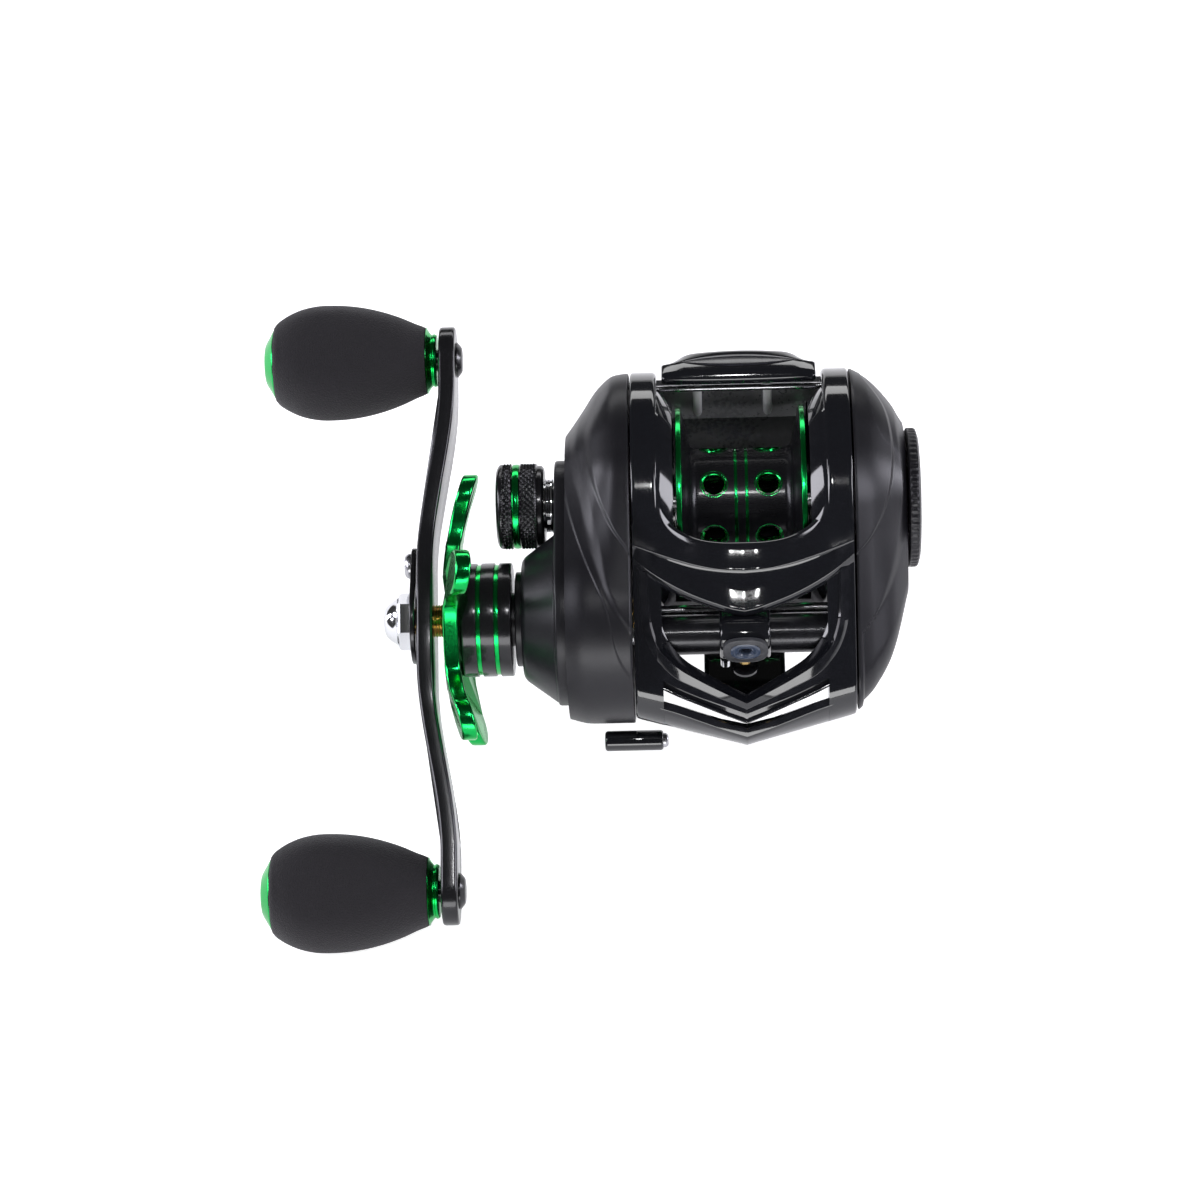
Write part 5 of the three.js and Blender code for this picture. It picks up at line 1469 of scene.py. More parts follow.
@dataclass
class ThumbBar:
    """The gloss thumb bar with its lens pad and the pale legs under it."""

    half: float = 13.7
    pad_half: float = 10.2
    pad_depth: float = 1.9
    leg_places: tuple[float, float] = (-7.4, 5.2)

    def section(self, share: float) -> np.ndarray:
        """The bar's side view, drawn to fit its plan at some share of its half length.

        Args:
            share: distance from the middle over the half length.

        Returns:
            The (y, z) points.
        """
        span = Span.of("thumb_bar")
        y0, y1, z1 = span.low.y, span.high.y, span.high.z
        back = y1 - 0.9 * share**2 - 2.0 * float(eased(np.array(share), 0.55, 1.0)) ** 1.3
        front = y0 + 0.35 * share**2
        drop = 0.7 * share**2 + 0.9 * float(eased(np.array(share), 0.7, 1.0))
        heel = max(back - 2.6, front + 3.7)
        corners = [
            (front, z1 - 2.2, 0.25), (front, z1 - 0.9, 0.5), (front + 1.2, z1 - 0.05 - drop * 0.4, 0.9),
            (front + 4.4, z1 - 0.45 - drop * 0.6, 1.5),
            (back - 1.0, z1 - 1.8 - drop, 0.7), (back, z1 - 3.0 - drop * 0.5, 0.4),
            (back - 0.7, z1 - 3.9 - drop * 0.3, 0.4), (heel, z1 - 3.7, 0.3), (front + 3.4, z1 - 2.4, 0.2),
        ]
        return rounded(corners)

    def build(self) -> None:
        """Builds the bar, its pad and its legs."""
        stations = [(1.0, 0.55), (0.995, 0.25), (0.98, 0.08), (0.96, 0.0)]
        stations += [(s, 0.0) for s in np.linspace(0.93, 0, 30)]
        rings = []
        for share, inset in stations + [(-s, i) for s, i in stations[-2::-1]]:
            outline = self.section(abs(share))
            middle = outline.mean(0)
            scale = 1 - inset / 2.2
            outline = middle + (outline - middle) * scale
            rings.append(np.column_stack([np.full(len(outline), share * self.half), outline]))
        Draft().loft(np.array(rings)).built(
            "thumb_bar_body", GLOSS_BLACK, Body.THUMB, ["thumb_bar"], sharp=50
        )
        self.pad()
        self.legs()

    def top(self, x: float, y: float) -> float:
        """Height of the bar's top at a place in plan."""
        outline = self.section(abs(x) / self.half)
        upper = outline[outline[:, 1] > outline[:, 1].max() - 2.0]
        order = upper[:, 0].argsort()
        return float(np.interp(y, upper[order, 0], upper[order, 1]))

    def pad(self) -> None:
        """Builds the lens-shaped pad, set in a fine bright rim."""
        middle = Span.of("thumb_bar_pad").middle.y - 0.1
        for name, finish, grow, proud in (
            ("thumb_pad_rim", BLACK_ALUMINIUM, 0.35, 0.06), ("thumb_pad", PAD_BLACK, 0.0, 0.12)
        ):
            rows = []
            for x in np.linspace(-1, 1, 60):
                spread = (self.pad_depth + grow) * max(0.02, 1 - abs(x) ** 2.2)
                across = x * (self.pad_half + grow)
                ys = np.linspace(middle - spread, middle + spread, 12)
                rim = 1 - np.abs(np.linspace(-1, 1, 12)) ** 8
                top = [(across, y, self.top(across, y) - 0.1 + (proud + 0.1) * r) for y, r in zip(ys, rim)]
                under = [(across, y, self.top(across, y) - 0.4) for y in ys[::-1]]
                rows.append(top + under)
            replaced = ["thumb_bar_pad"] if grow == 0 else []
            Draft().loft(np.array(rows)).built(name, finish, Body.THUMB, replaced)

    def legs(self) -> None:
        """Builds the pale legs and the crossbar that they stand on."""
        span = Span.of("thumb_carrier")
        y = span.middle.y
        draft = Draft()
        for x in self.leg_places:
            turn = np.linspace(0, 2 * math.pi, 40, endpoint=False)
            rows = [np.column_stack([x + r * np.cos(turn), y + r * np.sin(turn), np.full(40, z)])
                    for z, r in ((span.low.z + 1.4, 0.8), (span.high.z - 0.2, 0.8), (span.high.z, 0.65))]
            draft.loft(np.array(rows))
        low, high = span.low.z, span.low.z + 2.0
        draft.prism(
            np.array([(y - 0.8, low), (y + 0.8, low), (y + 0.8, high), (y - 0.8, high)]), span.low.x,
            span.high.x
        )
        draft.built("thumb_legs", PALE_PLASTIC, Body.THUMB, ["thumb_carrier"], bevel=0.12)


# ------------------------------------------------------------------ level wind


@dataclass
class LevelWind:
    """The line guide on its tube and rod."""

    def tube(self) -> None:
        """Builds the worm tube, open underneath where the pawl runs, and the guide rod."""
        span = Span.of("worm_tube")
        outer, inner, reach = span.radius, span.radius - 0.7, 10.6
        y, z = span.axis
        draft = Draft()
        for x0, x1, gap in ((span.low.x, -reach, 0.0), (-reach, reach, 20.0), (reach, span.high.x, 0.0)):
            turn = np.radians(np.linspace(-90 + gap, 270 - gap, 90))
            rows = []
            for x, r in ((x0, inner), (x0, outer), (x1, outer), (x1, inner)):
                rows.append(np.column_stack([np.full(90, x), y + r * np.cos(turn), z + r * np.sin(turn)]))
            draft.grid(np.array(rows), round_rows=False, round_all=True)
        facing = math.radians(172)
        ridge = [(-0.22, -0.1), (-0.22, 0.06), (0.22, 0.06), (0.22, -0.1)]
        outline = [(y + (outer + h) * math.cos(facing) - s * math.sin(facing),
                    z + (outer + h) * math.sin(facing) + s * math.cos(facing)) for s, h in ridge]
        draft.prism(np.array(outline), span.low.x, span.high.x)
        draft.built("level_wind_tube", DRUM_BLACK, Body.REEL, ["worm_tube"])
        for node, finish in (("guide_rod", STEEL), ("thumb_guide_pin", STEEL)):
            rod = Span.of(node)
            Draft().turned([
                (rod.low.x, 0, 0), (rod.low.x, rod.radius, 0.1),
                (rod.high.x, rod.radius, 0.1), (rod.high.x, 0, 0)
            ], rod.axis, closed=False, segments=48).built(node + "_turned", finish, Body.REEL, [node])

    def carriage(self) -> None:
        """Builds the carriage, its eye, the pawl cap and a small screw."""
        span, tube, rod, eye = (
            Span.of(n) for n in ("line_guide", "worm_tube", "guide_rod", "line_guide_insert")
        )
        half = span.high.x
        ey, ez = eye.middle.y, eye.middle.z
        front = eye.low.y
        block = Draft().plate(
            [Round(*tube.axis, 4.3), Round(*rod.axis, 1.35), Round(front + 3.6, ez, 2.85)], -half, half,
            0.6, 200
        )
        y, z = tube.axis
        turn = np.linspace(0, 2 * math.pi, 64, endpoint=False)
        rows = [np.column_stack([r * np.cos(turn), y + r * np.sin(turn), np.full(64, h)])
                for h, r in ((z - 3, 2.5), (z - 8.0, 2.5), (z - 8.3, 2.2), (z - 8.3, 1.5))]
        block.loft(np.array(rows))
        piece = block.built("line_guide_block", GLOSS_BLACK, Body.GUIDE, ["line_guide"])
        drilled(piece, [
            bore(
                -half - 1, half + 1, tube.radius + 0.12, tube.axis), bore(-half - 1, half + 1,
                rod.radius + 0.1, rod.axis
            )
        ])
        self.oval("line_guide_boss", INNER_PLASTIC, ey, ez, front - 0.15, 0.75,
                  [(3.9, 0.8, 3.1), (3.9, 0.1, 3.1), (3.7, 0.0, 2.9), (2.6, 0.0, 2.1), (2.5, 0.3, 2.0)], [])
        self.oval("line_guide_eye", CERAMIC, ey, ez, front - 0.25, 1.0, [
            (2.6, 0.8, 2.05), (2.6, 0.1, 2.05), (2.45, 0.0, 1.9),
            (1.75, 0.0, 1.45), (1.55, 0.12, 1.3), (1.45, 0.12, 1.25),
            (1.3, -0.05, 1.15), (1.1, 0.15, 0.98), (1.0, 0.7, 0.9), (1.0, 2.4, 0.9),
        ], ["line_guide_insert"])
        cap = Span.of("pawl_cap")
        rows = [np.column_stack([r * np.cos(turn), y + r * np.sin(turn), np.full(64, h)])
                for h, r in ((cap.high.z, 2.2), (cap.high.z - 0.1, 2.4), (cap.low.z + 0.25, 2.4), (cap.low.z, 2.15),
                             (cap.low.z, 1.2), (cap.low.z + 0.3, 1.1), (cap.low.z + 0.3, 0.2))]
        Draft().loft(np.array(rows)).built("pawl_cap_turned", GLOSS_BLACK, Body.GUIDE, ["pawl_cap"])
        screw = [np.column_stack([-half + 1.0 + r * np.cos(turn), y - 2.6 + r * np.sin(turn), np.full(64, h)])
                 for h, r in ((z - 3.4, 0.9), (z - 5.0, 0.9), (z - 5.2, 0.7), (z - 5.2, 0.1))]
        Draft().loft(np.array(screw)).built("line_guide_screw", CHROME, Body.GUIDE, [])

    def oval(self, name: str, finish: Finish, y: float, z: float, front: float, share: float,
             rings: Sequence[tuple[float, float, float]], stands_for: Sequence[str]) -> None:
        """Builds an oval collar on the front of the carriage.

        Args:
            name: the piece's name.
            finish: its finish.
            y: depth of the eye's middle, behind which the collar ends.
            z: height of its middle.
            front: y of its front face.
            share: how square its ends are, 1 for a true oval.
            rings: half width, depth behind the front and half height of each ring.
            stands_for: the CAD nodes that it replaces.
        """
        turn = np.linspace(0, 2 * math.pi, 96, endpoint=False)
        c, s = np.cos(turn), np.sin(turn)
        power = 0.75 if share < 1 else 0.85
        rows = [np.column_stack([
            w * np.sign(c) * np.abs(c) ** power, np.minimum(np.full(96, front + d), y + 1.2),
            z + h * np.sign(s) * np.abs(s) ** power,
        ]) for w, d, h in rings]
        Draft().grid(np.array(rows), round_all=True).built(name, finish, Body.GUIDE, stands_for)

    def build(self) -> None:
        """Builds every piece of the level wind."""
        self.tube()
        self.carriage()


# ------------------------------------------------------------------ cast control and tab


@dataclass
class CastControl:
    """The knurled spool tension knob, its green ring and the threaded boss."""

    flutes: int = 46

    def build(self) -> None:
        """Builds the knob, the ring and the boss."""
        knob, ring, boss = (Span.of(n) for n in ("cast_control_knob", "cast_control_ring", "tension_boss"))
        inner, end, r = knob.high.x, knob.low.x, knob.radius
        at = ring.middle.x

        def knurl(x: np.ndarray, turn: np.ndarray) -> np.ndarray:
            """Diamond knurling on the two bands."""
            bands = eased(x, end + 1.1, end + 1.4) * (1 - eased(x, at - 1.1, at - 0.8))
            bands += eased(x, at + 0.8, at + 1.1) * (1 - eased(x, inner - 1.7, inner - 1.4))
            pitch = 2 * math.pi * r / self.flutes
            one = np.abs(((x / pitch + turn * self.flutes / (2 * math.pi)) % 1) - 0.5)
            two = np.abs(((x / pitch - turn * self.flutes / (2 * math.pi)) % 1) - 0.5)
            return bands * (0.55 * np.minimum(one, two) * 2 - 0.42)

        fine = [(x, r, 0.0) for x in np.arange(inner - 1.35, at + 0.85, -0.16)]
        fine += [(at + 0.8, r, 0), (at + 0.7, r - 0.9, 0), (at - 0.7, r - 0.9, 0), (at - 0.8, r, 0)]
        fine += [(x, r, 0.0) for x in np.arange(at - 0.85, end + 1.0, -0.16)]
        Draft().turned([
            (inner, 4.5, 0), (inner, r - 0.9, 0.2),
            (inner - 0.4, r - 0.35, 0.2), (inner - 1.2, r - 0.35, 0.15),
            *fine, (end + 0.6, r - 0.1, 0.3), (end + 0.1, r - 0.9, 0.4),
            (end, r - 2.2, 0.3), (end + 0.25, r - 2.8, 0.3),
            (end + 0.25, 2.4, 0.2), (end, 2.0, 0.2), (end, 0, 0),
        ], closed=False, segments=368, shaped=knurl).built(
            "cast_knob", BLACK_ALUMINIUM, Body.CAST, ["cast_control_knob"], sharp=70
        )
        Draft().turned([
            (at - 0.6, r - 1.0, 0), (at - 0.6, r - 0.1, 0.15),
            (at, r - 0.02, 0.2), (at + 0.6, r - 0.1, 0.15), (at + 0.6, r - 1.0, 0)
        ]).built("cast_ring", GREEN_ANODISED, Body.CAST, ["cast_control_ring"])
        thread = [(boss.high.x, 3.4, 0), (boss.high.x, 4.1, 0.1), (boss.high.x - 1.3, 4.1, 0.1),
                  (boss.high.x - 1.4, boss.radius, 0.25)]
        turns = np.arange(boss.high.x - 1.8, boss.low.x + 6.0, -0.35)
        for x in turns:
            thread += [(x, boss.radius, 0.05), (x - 0.17, boss.radius - 0.14, 0.05)]
        thread += [(boss.low.x + 6.0, boss.radius, 0.1), (boss.low.x + 6.0, boss.radius - 0.5, 0.1),
                   (boss.low.x, boss.radius - 0.5, 0.1), (boss.low.x, 3.4, 0)]
        Draft().turned(thread).built("tension_collar", CHROME, Body.REEL, ["tension_boss"])
        axis = Span.of("drive_gear").axis
        dot = Draft()
        turn = np.linspace(0, 2 * math.pi, 24, endpoint=False)
        rows = [np.column_stack([np.full(24, x), -7.3 + k * np.cos(turn), 4.2 + k * np.sin(turn)])
                for x, k in ((boss.high.x - 1.6, 0.42), (boss.high.x - 2.12, 0.42), (boss.high.x - 2.2, 0.2))]
        dot.loft(np.array(rows)).built("index_dot", PALE_PLASTIC, Body.REEL, [])
        LOG.info("cast control stands %.1f mm over the drive", -axis[1])


@dataclass
class CoverTab:
    """The release tab under the handle-side nose."""

    def build(self) -> None:
        """Builds the tab with its bright tip."""
        span = Span.of("cover_tab")
        y, z = span.middle.y, span.middle.z
        rounds = [Round(y - 0.3, z + 0.4, 1.8), Round(y + 0.9, z - 0.8, 1.6)]
        Draft().plate(rounds, span.low.x, span.high.x - 0.9, 0.5, 96).built(
            "release_tab", GLOSS_BLACK, Body.REEL, ["cover_tab"]
        )
        Draft().turned([
            (span.high.x - 1.2, 0, 0), (span.high.x - 1.2, 1.3, 0),
            (span.high.x - 0.4, 1.3, 0.3), (span.high.x, 0.9, 0.3), (span.high.x, 0, 0)
        ], (y - 0.3, z + 0.4), closed=False, segments=48).built("release_tab_pin", STEEL, Body.REEL, [])


# ------------------------------------------------------------------ star drag


@dataclass
class StarDrag:
    """The green five-armed star and the black sleeve with green grooves."""

    arms: int = 5
    reach: float = 22.1
    tip: float = 3.9
    valley: float = 11.6
    bend: float = 3.4
    lean: float = 34.0

    def outline(self) -> np.ndarray:
        """The star's outline in its own plane, with curved flanks."""
        out = []
        for i in range(self.arms):
            middle = math.radians(self.lean + 360 / self.arms * i)
            along = np.array([math.cos(middle), math.sin(middle)])
            side = np.array([-along[1], along[0]])
            flank = []
            for r, w in ((self.valley, 5.4), (13.2, 3.6), (15.5, 2.75), (17.6, 2.75)):
                flank.append((r, w))
            rs = np.linspace(flank[0][0], flank[-1][0], 12)
            ws = flowing(rs, [f[0] for f in flank], [f[1] for f in flank])
            left = [along * r - side * w for r, w in zip(rs, ws)]
            tip = [along * self.reach + self.tip * (along * math.cos(a) + side * math.sin(a))
                   for a in np.linspace(-2.1, 2.1, 28)]
            right = [along * r + side * w for r, w in zip(rs[::-1], ws[::-1])]
            out += left + tip + right
        return np.array(out)

    def build(self) -> None:
        """Builds the star, its sleeve and the green rings in the sleeve's grooves."""
        star, hub = Span.of("drag_star"), Span.of("star_hub")
        y, z = hub.axis
        outer = star.low.x
        thick = star.high.x - outer - self.bend

        def bent(points: np.ndarray) -> np.ndarray:
            """Sweeps the arms back towards the reel."""
            moved = points.copy()
            r = np.hypot(points[:, 1] - y, points[:, 2] - z)
            moved[:, 0] += self.bend * np.clip((r - 11.5) / (self.reach + self.tip - 11.5), 0, 1) ** 1.3
            return moved

        outline = self.outline() + [y, z]
        Draft().prism(outline, outer, outer + thick).moved(bent).built(
            "star_wheel", GREEN_ANODISED, Body.STAR, ["drag_star"], bevel=0.5, sharp=40
        )
        inner, face, r = hub.high.x, hub.low.x, hub.radius
        profile: list[Corner] = [(face, 3.2, 0), (face, r, 0.35)]
        green = []
        for share in (0.34, 0.70):
            x = face + (inner - face) * share
            profile += [
                (x - 0.4, r, 0.08), (x - 0.4, r - 0.5, 0), (x + 0.4, r - 0.5, 0), (x + 0.4, r, 0.08)
            ]
            green.append(x)
        profile += [(inner, r, 0.35), (inner, 3.2, 0)]
        Draft().turned(profile, (y, z), segments=160).built(
            "star_sleeve", BLACK_ALUMINIUM, Body.STAR, ["star_hub"]
        )
        for x, name in zip(green, ("sleeve_ring_outer", "sleeve_ring_inner")):
            Draft().turned([
                (x - 0.38, r - 0.8, 0), (x - 0.38, r - 0.32, 0.05),
                (x + 0.38, r - 0.32, 0.05), (x + 0.38, r - 0.8, 0)
            ], (y, z), segments=160).built(name, GREEN_ANODISED, Body.STAR, [])
        shaft = Span.of("drive_shaft")
        line: list[Corner] = [(shaft.high.x, 0, 0), (shaft.high.x, 3.0, 0.2), (outer + thick, 3.0, 0)]
        for x in np.arange(outer + thick - 0.3, shaft.low.x + 6.0, -0.45):
            line += [(x, 2.95, 0.05), (x - 0.22, 2.72, 0.05)]
        line += [(shaft.low.x + 5.0, 2.28, 0), (shaft.low.x, 2.28, 0.2), (shaft.low.x, 0, 0)]
        Draft().turned(line, shaft.axis, closed=False, segments=64).built(
            "drive_spindle", BRASS, Body.HANDLE, ["drive_shaft"]
        )


# ------------------------------------------------------------------ handle


@dataclass
class Handle:
    """The swept arm with its nut, keeper and two foam knobs."""

    half: float = 48.5
    width: float = 14.5
    tip_width: float = 12.0
    thickness: float = 2.9
    sweep: float = 4.0
    flat: float = 8.9
    axis: Place = field(default=(0.0, 0.0))
    turn: float = 0.0

    def settle(self) -> None:
        """Reads the drive axis and the arm's lean from the frame."""
        self.axis = Span.of("drive_gear").axis
        knob = Span.of("knob_cap_front").middle
        self.turn = math.atan2(self.axis[0] - knob.y, knob.z - self.axis[1])

    def placed(self, points: np.ndarray) -> np.ndarray:
        """Turns points from the arm's own axes, with z along its forward half."""
        c, s = math.cos(self.turn), math.sin(self.turn)
        out = points.copy()
        out[:, 1] = self.axis[0] + points[:, 1] * c - points[:, 2] * s
        out[:, 2] = self.axis[1] + points[:, 1] * s + points[:, 2] * c
        return out

    def bowed(self, z: np.ndarray) -> np.ndarray:
        """How far the arm's tips come back towards the reel."""
        return self.sweep * eased(np.abs(z), 9.0, self.half - 6.0)

    def arm(self) -> None:
        """Builds the arm with softened edges."""
        span = Span.of("handle_arm")
        outer = span.low.x
        zs = np.linspace(-self.half, self.half, 120)
        half_width = self.tip_width / 2 + (self.width - self.tip_width) / 2 * (1 - eased(np.abs(zs), 2, 17))
        right = np.column_stack([half_width, zs])
        turn = np.linspace(0, math.pi, 26)[1:-1]
        top = np.column_stack(
            [self.tip_width / 2 * np.cos(turn), self.half + self.tip_width / 2 * np.sin(turn)]
        )
        left = np.column_stack([-half_width[::-1], zs[::-1]])
        bottom = np.column_stack(
            [-self.tip_width / 2 * np.cos(turn), -self.half - self.tip_width / 2 * np.sin(turn)]
        )
        outline = np.vstack([right, top, left, bottom])

        def bow(points: np.ndarray) -> np.ndarray:
            """Sweeps the tips and turns the arm into place."""
            moved = points.copy()
            moved[:, 0] += self.bowed(points[:, 2])
            return self.placed(moved)

        Draft().prism(outline, outer, outer + self.thickness).moved(bow).built(
            "crank_arm", BLACK_ALUMINIUM, Body.HANDLE, ["handle_arm"], bevel=0.55, sharp=40
        )

    def hub(self) -> None:
        """Builds the nut, its keeper plate and the keeper's screw."""
        nut, keeper, screw = (Span.of(n) for n in ("handle_nut", "keeper_plate", "keeper_screw"))
        face, outer = nut.high.x, nut.low.x

        def hexed(x: np.ndarray, turn: np.ndarray) -> np.ndarray:
            """Six flats near the arm."""
            away = ((turn + math.pi / 6) % (math.pi / 3)) - math.pi / 6
            limit = 5.15 * math.cos(math.pi / 6) / np.cos(away)
            near = eased(x, face - 3.3, face - 3.2)
            return near * (limit - 5.15)

        Draft().turned([
            (face, 0, 0), (face, 5.0, 0.1), (face - 0.15, 5.15, 0.1),
            (face - 2.8, 5.15, 0.1), (face - 3.2, 4.9, 0.1),
            (face - 3.4, 4.3, 0.1), (face - 3.9, 3.9, 0.2), (outer + 1.2, 3.4, 0.8),
            (outer + 0.3, 2.6, 0.6), (outer, 1.2, 0.3), (outer, 0, 0),
        ], self.axis, closed=False, segments=240, shaped=hexed).built(
            "crank_nut", CHROME, Body.HANDLE, ["handle_nut"], sharp=25
        )
        place = 10.2
        plate = Draft().plate(
            [Round(0, 0, 7.6), Round(0, -place, 3.2)], keeper.low.x, keeper.high.x, 0.25, 140
        )
        piece = plate.moved(self.placed).built(
            "crank_keeper", BLACK_ALUMINIUM, Body.HANDLE, ["keeper_plate"]
        )
        drilled(piece, [bore(keeper.low.x - 1, keeper.high.x + 1, 5.5, self.axis)])
        head, out = screw.high.x, screw.low.x
        Draft().turned([
            (head, 0, 0), (head, 2.3, 0.1), (head - 0.5, 2.3, 0.3), (out, 1.8, 0.4),
            (out, 1.0, 0.1), (out + 0.5, 0.85, 0.1), (out + 0.5, 0, 0)
        ], (0, -place), closed=False, segments=64).moved(self.placed).built(
            "crank_keeper_screw", STEEL, Body.HANDLE, ["keeper_screw"]
        )

    def knob(self, end: str, side: int, body: Body) -> None:
        """Builds one knob: its post, foam grip, green collar and green cap.

        Args:
            end: front or rear.
            side: 1 at the arm's forward tip, -1 at the other.
            body: the body that spins.
        """
        at = (0.0, side * self.half)
        grip, collar, cap, post = (
            Span.of(f"{part}_{end}") for part in ("knob_grip", "knob_collar", "knob_cap", "knob_post")
        )
        inner, outer = grip.high.x, grip.low.x
        length = inner - outer
        largest = grip.radius - 0.03
        shares = (0.0, 0.02, 0.06, 0.16, 0.30, 0.45, 0.60, 0.74, 0.86, 0.95, 0.985, 1.0)
        radii = (0.575, 0.60, 0.64, 0.755, 0.88, 0.965, 1.0, 0.985, 0.90, 0.775, 0.705, 0.655)

        def flats(x: np.ndarray, turn: np.ndarray) -> np.ndarray:
            """Two large oval flats on the grip."""
            r = largest * flowing((inner - x) / length, shares, radii)
            limit = self.flat / np.maximum(np.abs(np.cos(turn)), 0.05)
            blend = 0.9
            lower = -blend * np.log(np.exp(-r / blend) + np.exp(-limit / blend))
            return np.where(r > 7.4, lower - r, 0.0) * eased(r, 7.4, 8.2)

        line = [(inner - share * length, largest * float(flowing(np.array(share), shares, radii)), 0.0)
                for share in np.linspace(0, 1, 70)]
        Draft().turned([(inner, 2.2, 0), *line, (outer, 6.2, 0), (outer + 1.0, 6.1, 0), (outer + 1.0, 2.2, 0)],
                       at, segments=200, shaped=lambda x,
                       t: np.where(x < inner + 1, flats(x, t), 0)).moved(self.placed).built(
            f"grip_{end}", FOAM, body, [f"knob_grip_{end}"], sharp=50
        )
        top = collar.high.x
        Draft().turned([
            (top, 2.1, 0), (top, 4.6, 0.15), (top - 0.5, 4.85, 0.15),
            (top - 0.9, 4.6, 0.2), (top - 1.6, 5.5, 0.4), (inner + 0.15, 6.1, 0.2),
            (inner + 0.15, 2.1, 0)
        ], at).moved(self.placed).built(f"collar_{end}", GREEN_ANODISED, body, [f"knob_collar_{end}"])
        Draft().turned([
            (outer + 0.8, 0, 0), (outer + 0.8, 6.05, 0),
            (outer - 0.15, 6.35, 0.2), (outer - 0.55, 5.7, 0.4),
            (cap.low.x + 0.05, 3.4, 0.8), (cap.low.x, 0, 0)
        ], at, closed=False).moved(self.placed).built(
            f"cap_{end}", GREEN_ANODISED, body, [f"knob_cap_{end}"]
        )
        head = post.high.x
        Draft().turned([
            (head, 0, 0), (head, 1.3, 0.05), (head - 0.1, 2.2, 0.3),
            (head - 0.9, 3.2, 0.3), (head - 1.1, 3.2, 0), (head - 1.1, 1.9, 0),
            (post.low.x, 1.9, 0.2), (post.low.x, 0, 0)
        ], at, closed=False, segments=64).moved(self.placed).built(
            f"post_{end}", BLACK_ALUMINIUM, Body.HANDLE, [f"knob_post_{end}"]
        )

    def build(self) -> None:
        """Builds every piece of the handle."""
        self.settle()
        self.arm()
        self.hub()
        self.knob("front", 1, Body.KNOB_FRONT)
        self.knob("rear", -1, Body.KNOB_REAR)


# ------------------------------------------------------------------ foot


@dataclass
class Foot:
    """The long foot that the rod's seat clamps."""

    def build(self) -> None:
        """Builds the foot, thin at its tips and thick under the reel."""
        span = Span.of("reel_foot")
        half, width = span.high.y, span.high.x
        low, high = span.low.z, span.high.z
        rings = []
        tip, waist = np.linspace(0.75, 1, 16), np.linspace(-0.72, 0.72, 30)
        for share in np.concatenate([np.linspace(-1, -0.75, 16), waist, tip]):
            y = half * share
            beyond = max(0.0, abs(y) - (half - width))
            w = math.sqrt(max(width**2 - beyond**2, 0.02))
            t = low + 0.9 + (high - low - 0.9) * float(eased(np.array(half - abs(y)), 0.0, 13.0))
            section = rounded([
                (-w, low, 0.25), (w, low, 0.25), (w, t - 0.15, 0.5),
                (w * 0.9, t, 0.8), (-w * 0.9, t, 0.8), (-w, t - 0.15, 0.5),
            ])
            rings.append(np.column_stack([section[:, 0], np.full(len(section), y), section[:, 1]]))
        Draft().loft(np.array(rings)).built("foot", GLOSS_BLACK, Body.REEL, ["reel_foot"], sharp=60)


# ------------------------------------------------------------------ inner works


INNER_FINISHES: dict[str, Finish] = {
    "foot_screw_front": STEEL, "foot_screw_rear": STEEL, "spool_bearing_palm": STEEL,
    "pinion_bearing": STEEL,
    "spool_bearing_handle": STEEL, "shaft_bearing": STEEL, "roller_clutch": STEEL,
    "yoke_spring_upper": STEEL,
    "yoke_spring_lower": STEEL, "level_wind_drive_gear": STEEL, "key_washer": STEEL,
    "belleville_washer": STEEL,
    "clutch_sleeve": STEEL, "worm_shaft": STEEL, "spool_shaft": STEEL, "drive_gear": BRASS,
    "pinion_gear": BRASS,
    "level_wind_pawl": BRASS, "drag_washer": CARBON, "gear_plate": INNER_PLASTIC,
    "brake_base": INNER_PLASTIC,
    "clutch_yoke": INNER_PLASTIC, "clutch_cam": INNER_PLASTIC, "magnet_carrier": INNER_PLASTIC,
    "worm_gear": INNER_PLASTIC,
}


def dress_inner_works(nodes: dict[str, bpy.types.Object]) -> None:
    """Gives the CAD nodes that stay in view their finishes.

    Args:
        nodes: the frame's nodes by name.
    """
    for name, finish in INNER_FINISHES.items():
        slots = nodes[name].data.materials
        slots.clear()
        slots.append(finish.material())
        LOG.info("%s keeps its CAD shape in %s", name, finish.name)


# ------------------------------------------------------------------ studio


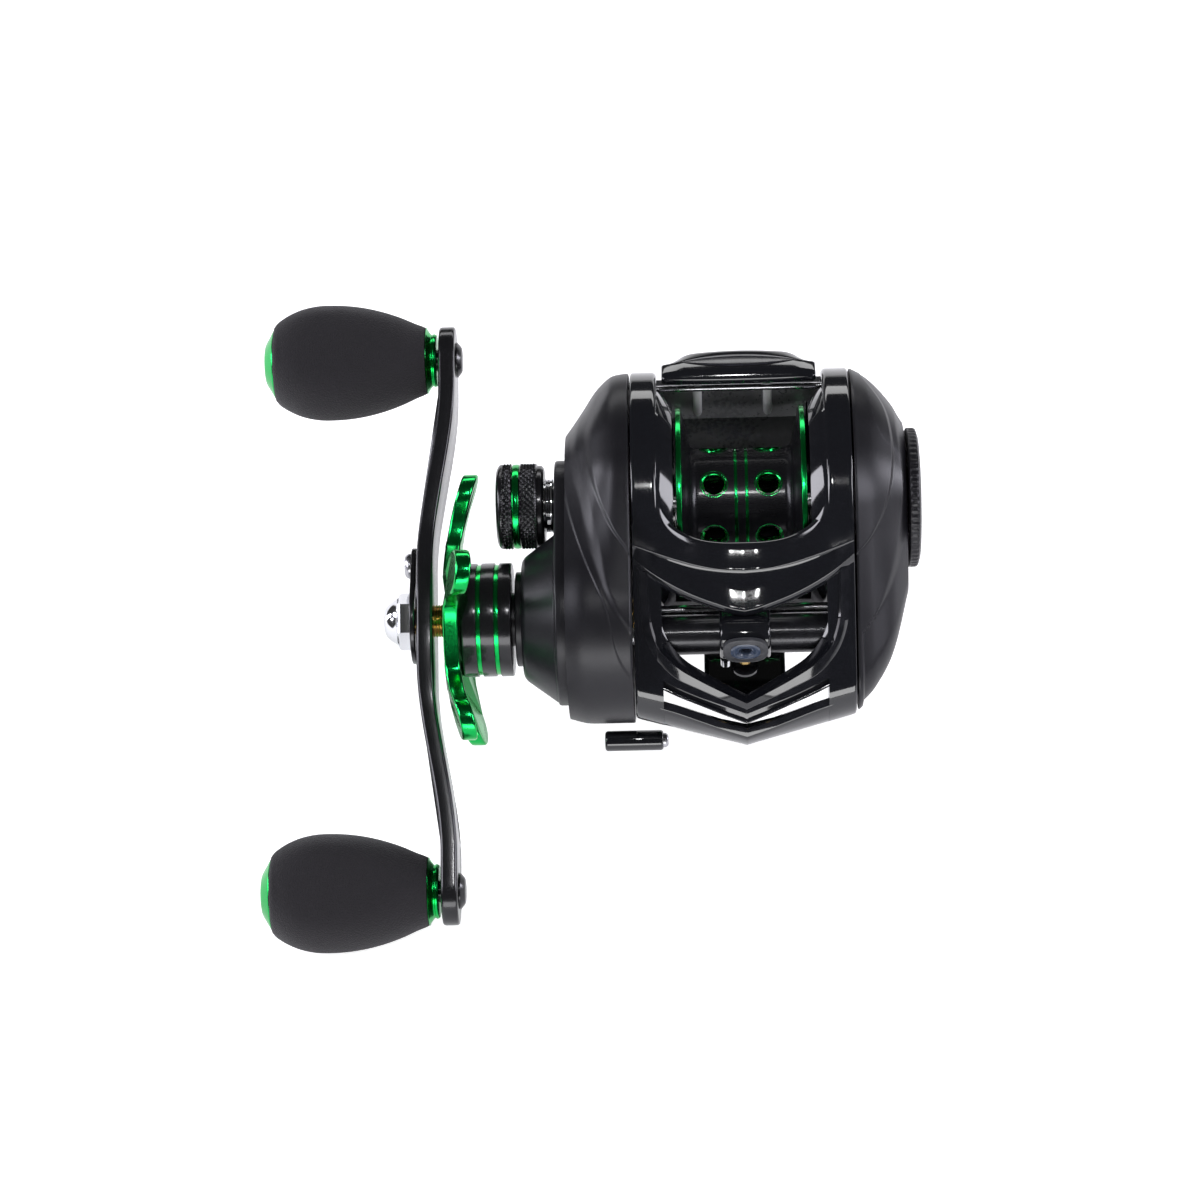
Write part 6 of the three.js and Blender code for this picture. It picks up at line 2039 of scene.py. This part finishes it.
@dataclass
class Studio:
    """A pale floor, soft lights and the camera."""

    camera_place: tuple[float, float, float] = (-6.0, -416.8, 521.2)
    camera_aim: tuple[float, float, float] = (-25.6, -13.0, 11.5)
    camera_lens: float = 109.2
    camera_roll: float = 3.5
    room_light: float = 0.045
    table_light: float = 0.30
    table_glow: float = 0.45

    def camera(self) -> None:
        """Places the camera."""
        place, aim = Vector(self.camera_place) * MM, Vector(self.camera_aim) * MM
        look = (aim - place).normalized()
        right = look.cross(Vector((0, 0, 1))).normalized()
        up = right.cross(look)
        roll = math.radians(self.camera_roll)
        across = right * math.cos(roll) - up * math.sin(roll)
        rise = right * math.sin(roll) + up * math.cos(roll)
        turn = Matrix((across, rise, -look)).transposed()
        data = bpy.data.cameras.new("view")
        data.lens = self.camera_lens
        data.sensor_width = 36.0
        data.clip_start = 0.01
        data.clip_end = 20.0
        made = bpy.data.objects.new("view", data)
        made.matrix_world = Matrix.Translation(place) @ turn.to_4x4()
        bpy.context.scene.collection.objects.link(made)
        bpy.context.scene.camera = made

    def floor(self, height: float) -> None:
        """Lays a wide pale floor, lit from within like a light table.

        Args:
            height: the reel's lowest point, in metres.
        """
        mesh = bpy.data.meshes.new("floor")
        shape = bmesh.new()
        size = 3.0
        z = height - 0.1 * MM
        corners = [shape.verts.new((x * size, y * size, z)) for x, y in ((-1, -1), (1, -1), (1, 1), (-1, 1))]
        shape.faces.new(corners)
        shape.to_mesh(mesh)
        shape.free()
        made = bpy.data.objects.new("floor", mesh)
        bpy.context.scene.collection.objects.link(made)
        paint = Finish("floor_paper", "", (0.93, 0.93, 0.935), (0.90, 0.90, 0.905), 0.75, 0.9,
                       specular=0.2, grain_scale=300.0, bump=0.02, wear_amount=0.0).material()
        nodes, links = paint.node_tree.nodes, paint.node_tree.links
        path = nodes.new("ShaderNodeLightPath")
        glow = nodes.new("ShaderNodeMath")
        glow.operation = "MULTIPLY_ADD"
        links.new(path.outputs["Is Camera Ray"], glow.inputs[0])
        glow.inputs[1].default_value = self.table_glow
        glow.inputs[2].default_value = self.table_light
        skin = nodes["Principled BSDF"]
        skin.inputs["Emission Color"].default_value = (1, 1, 1, 1)
        links.new(glow.outputs["Value"], skin.inputs["Emission Strength"])
        mesh.materials.append(paint)
        made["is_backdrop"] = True

    def softbox(self, name: str, place: tuple[float, float, float], aim: tuple[float, float, float],
                size: tuple[float, float], power: float, tint: tuple[float, float, float] = (1, 1, 1)) -> None:
        """Hangs a rectangular light.

        Args:
            name: the light's name.
            place: where it hangs, in millimetres of the row frame.
            aim: the point that it faces.
            size: its width and height in millimetres.
            power: watts.
            tint: its colour.
        """
        data = bpy.data.lights.new(name, "AREA")
        data.shape = "RECTANGLE"
        data.size, data.size_y = size[0] * MM, size[1] * MM
        data.energy = power
        data.color = tint
        made = bpy.data.objects.new(name, data)
        made.location = Vector(place) * MM
        made.rotation_euler = (Vector(aim) * MM - made.location).to_track_quat("-Z", "Y").to_euler()
        bpy.context.scene.collection.objects.link(made)

    def lights(self) -> None:
        """Hangs the soft lights and sets the room's own glow."""
        world = bpy.data.worlds.new("room")
        world.use_nodes = True
        world.node_tree.nodes["Background"].inputs["Color"].default_value = (1, 1, 1, 1)
        world.node_tree.nodes["Background"].inputs["Strength"].default_value = self.room_light
        bpy.context.scene.world = world
        bpy.context.scene.view_settings.view_transform = "Standard"
        middle = (0, 0, 20)
        lavender = (0.93, 0.92, 1.0)
        self.softbox("drum_strip", (0, -250, 672), middle, (36, 50), 0.42)
        self.softbox("front_strip", (0, -690, 110), middle, (760, 200), 2.6)
        self.softbox("handle_low", (-640, 150, 90), middle, (120, 300), 1.5, lavender)
        self.softbox("palm_low", (600, 150, 70), middle, (120, 300), 1.7, lavender)
        self.softbox("handle_side", (-560, -120, 420), middle, (260, 420), 2.6, lavender)
        self.softbox("palm_side", (520, -160, 420), middle, (240, 380), 2.1, lavender)
        self.softbox("back_top", (0, 640, 330), middle, (900, 160), 1.5)

    def build(self) -> None:
        """Sets the whole studio."""
        self.camera()
        self.floor(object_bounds()[0][2])
        self.lights()


# ------------------------------------------------------------------ the reel


def main() -> None:
    """Builds the reel around its frame, then the studio."""
    logging.basicConfig(level=logging.INFO, format="%(message)s")
    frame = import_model()
    Studio().build()
    outline = Outline()
    skin = FrontSkin(outline)
    Frame(outline, skin).build()
    Hood(outline, skin).build()
    handle_cover().build()
    HandleBoss().build()
    palm_cover().build()
    Spool().build()
    BrakeDial().build()
    ThumbBar().build()
    LevelWind().build()
    CastControl().build()
    CoverTab().build()
    StarDrag().build()
    Handle().build()
    Foot().build()
    dress_inner_works(frame["nodes"])


if __name__ == "__main__":
    main()
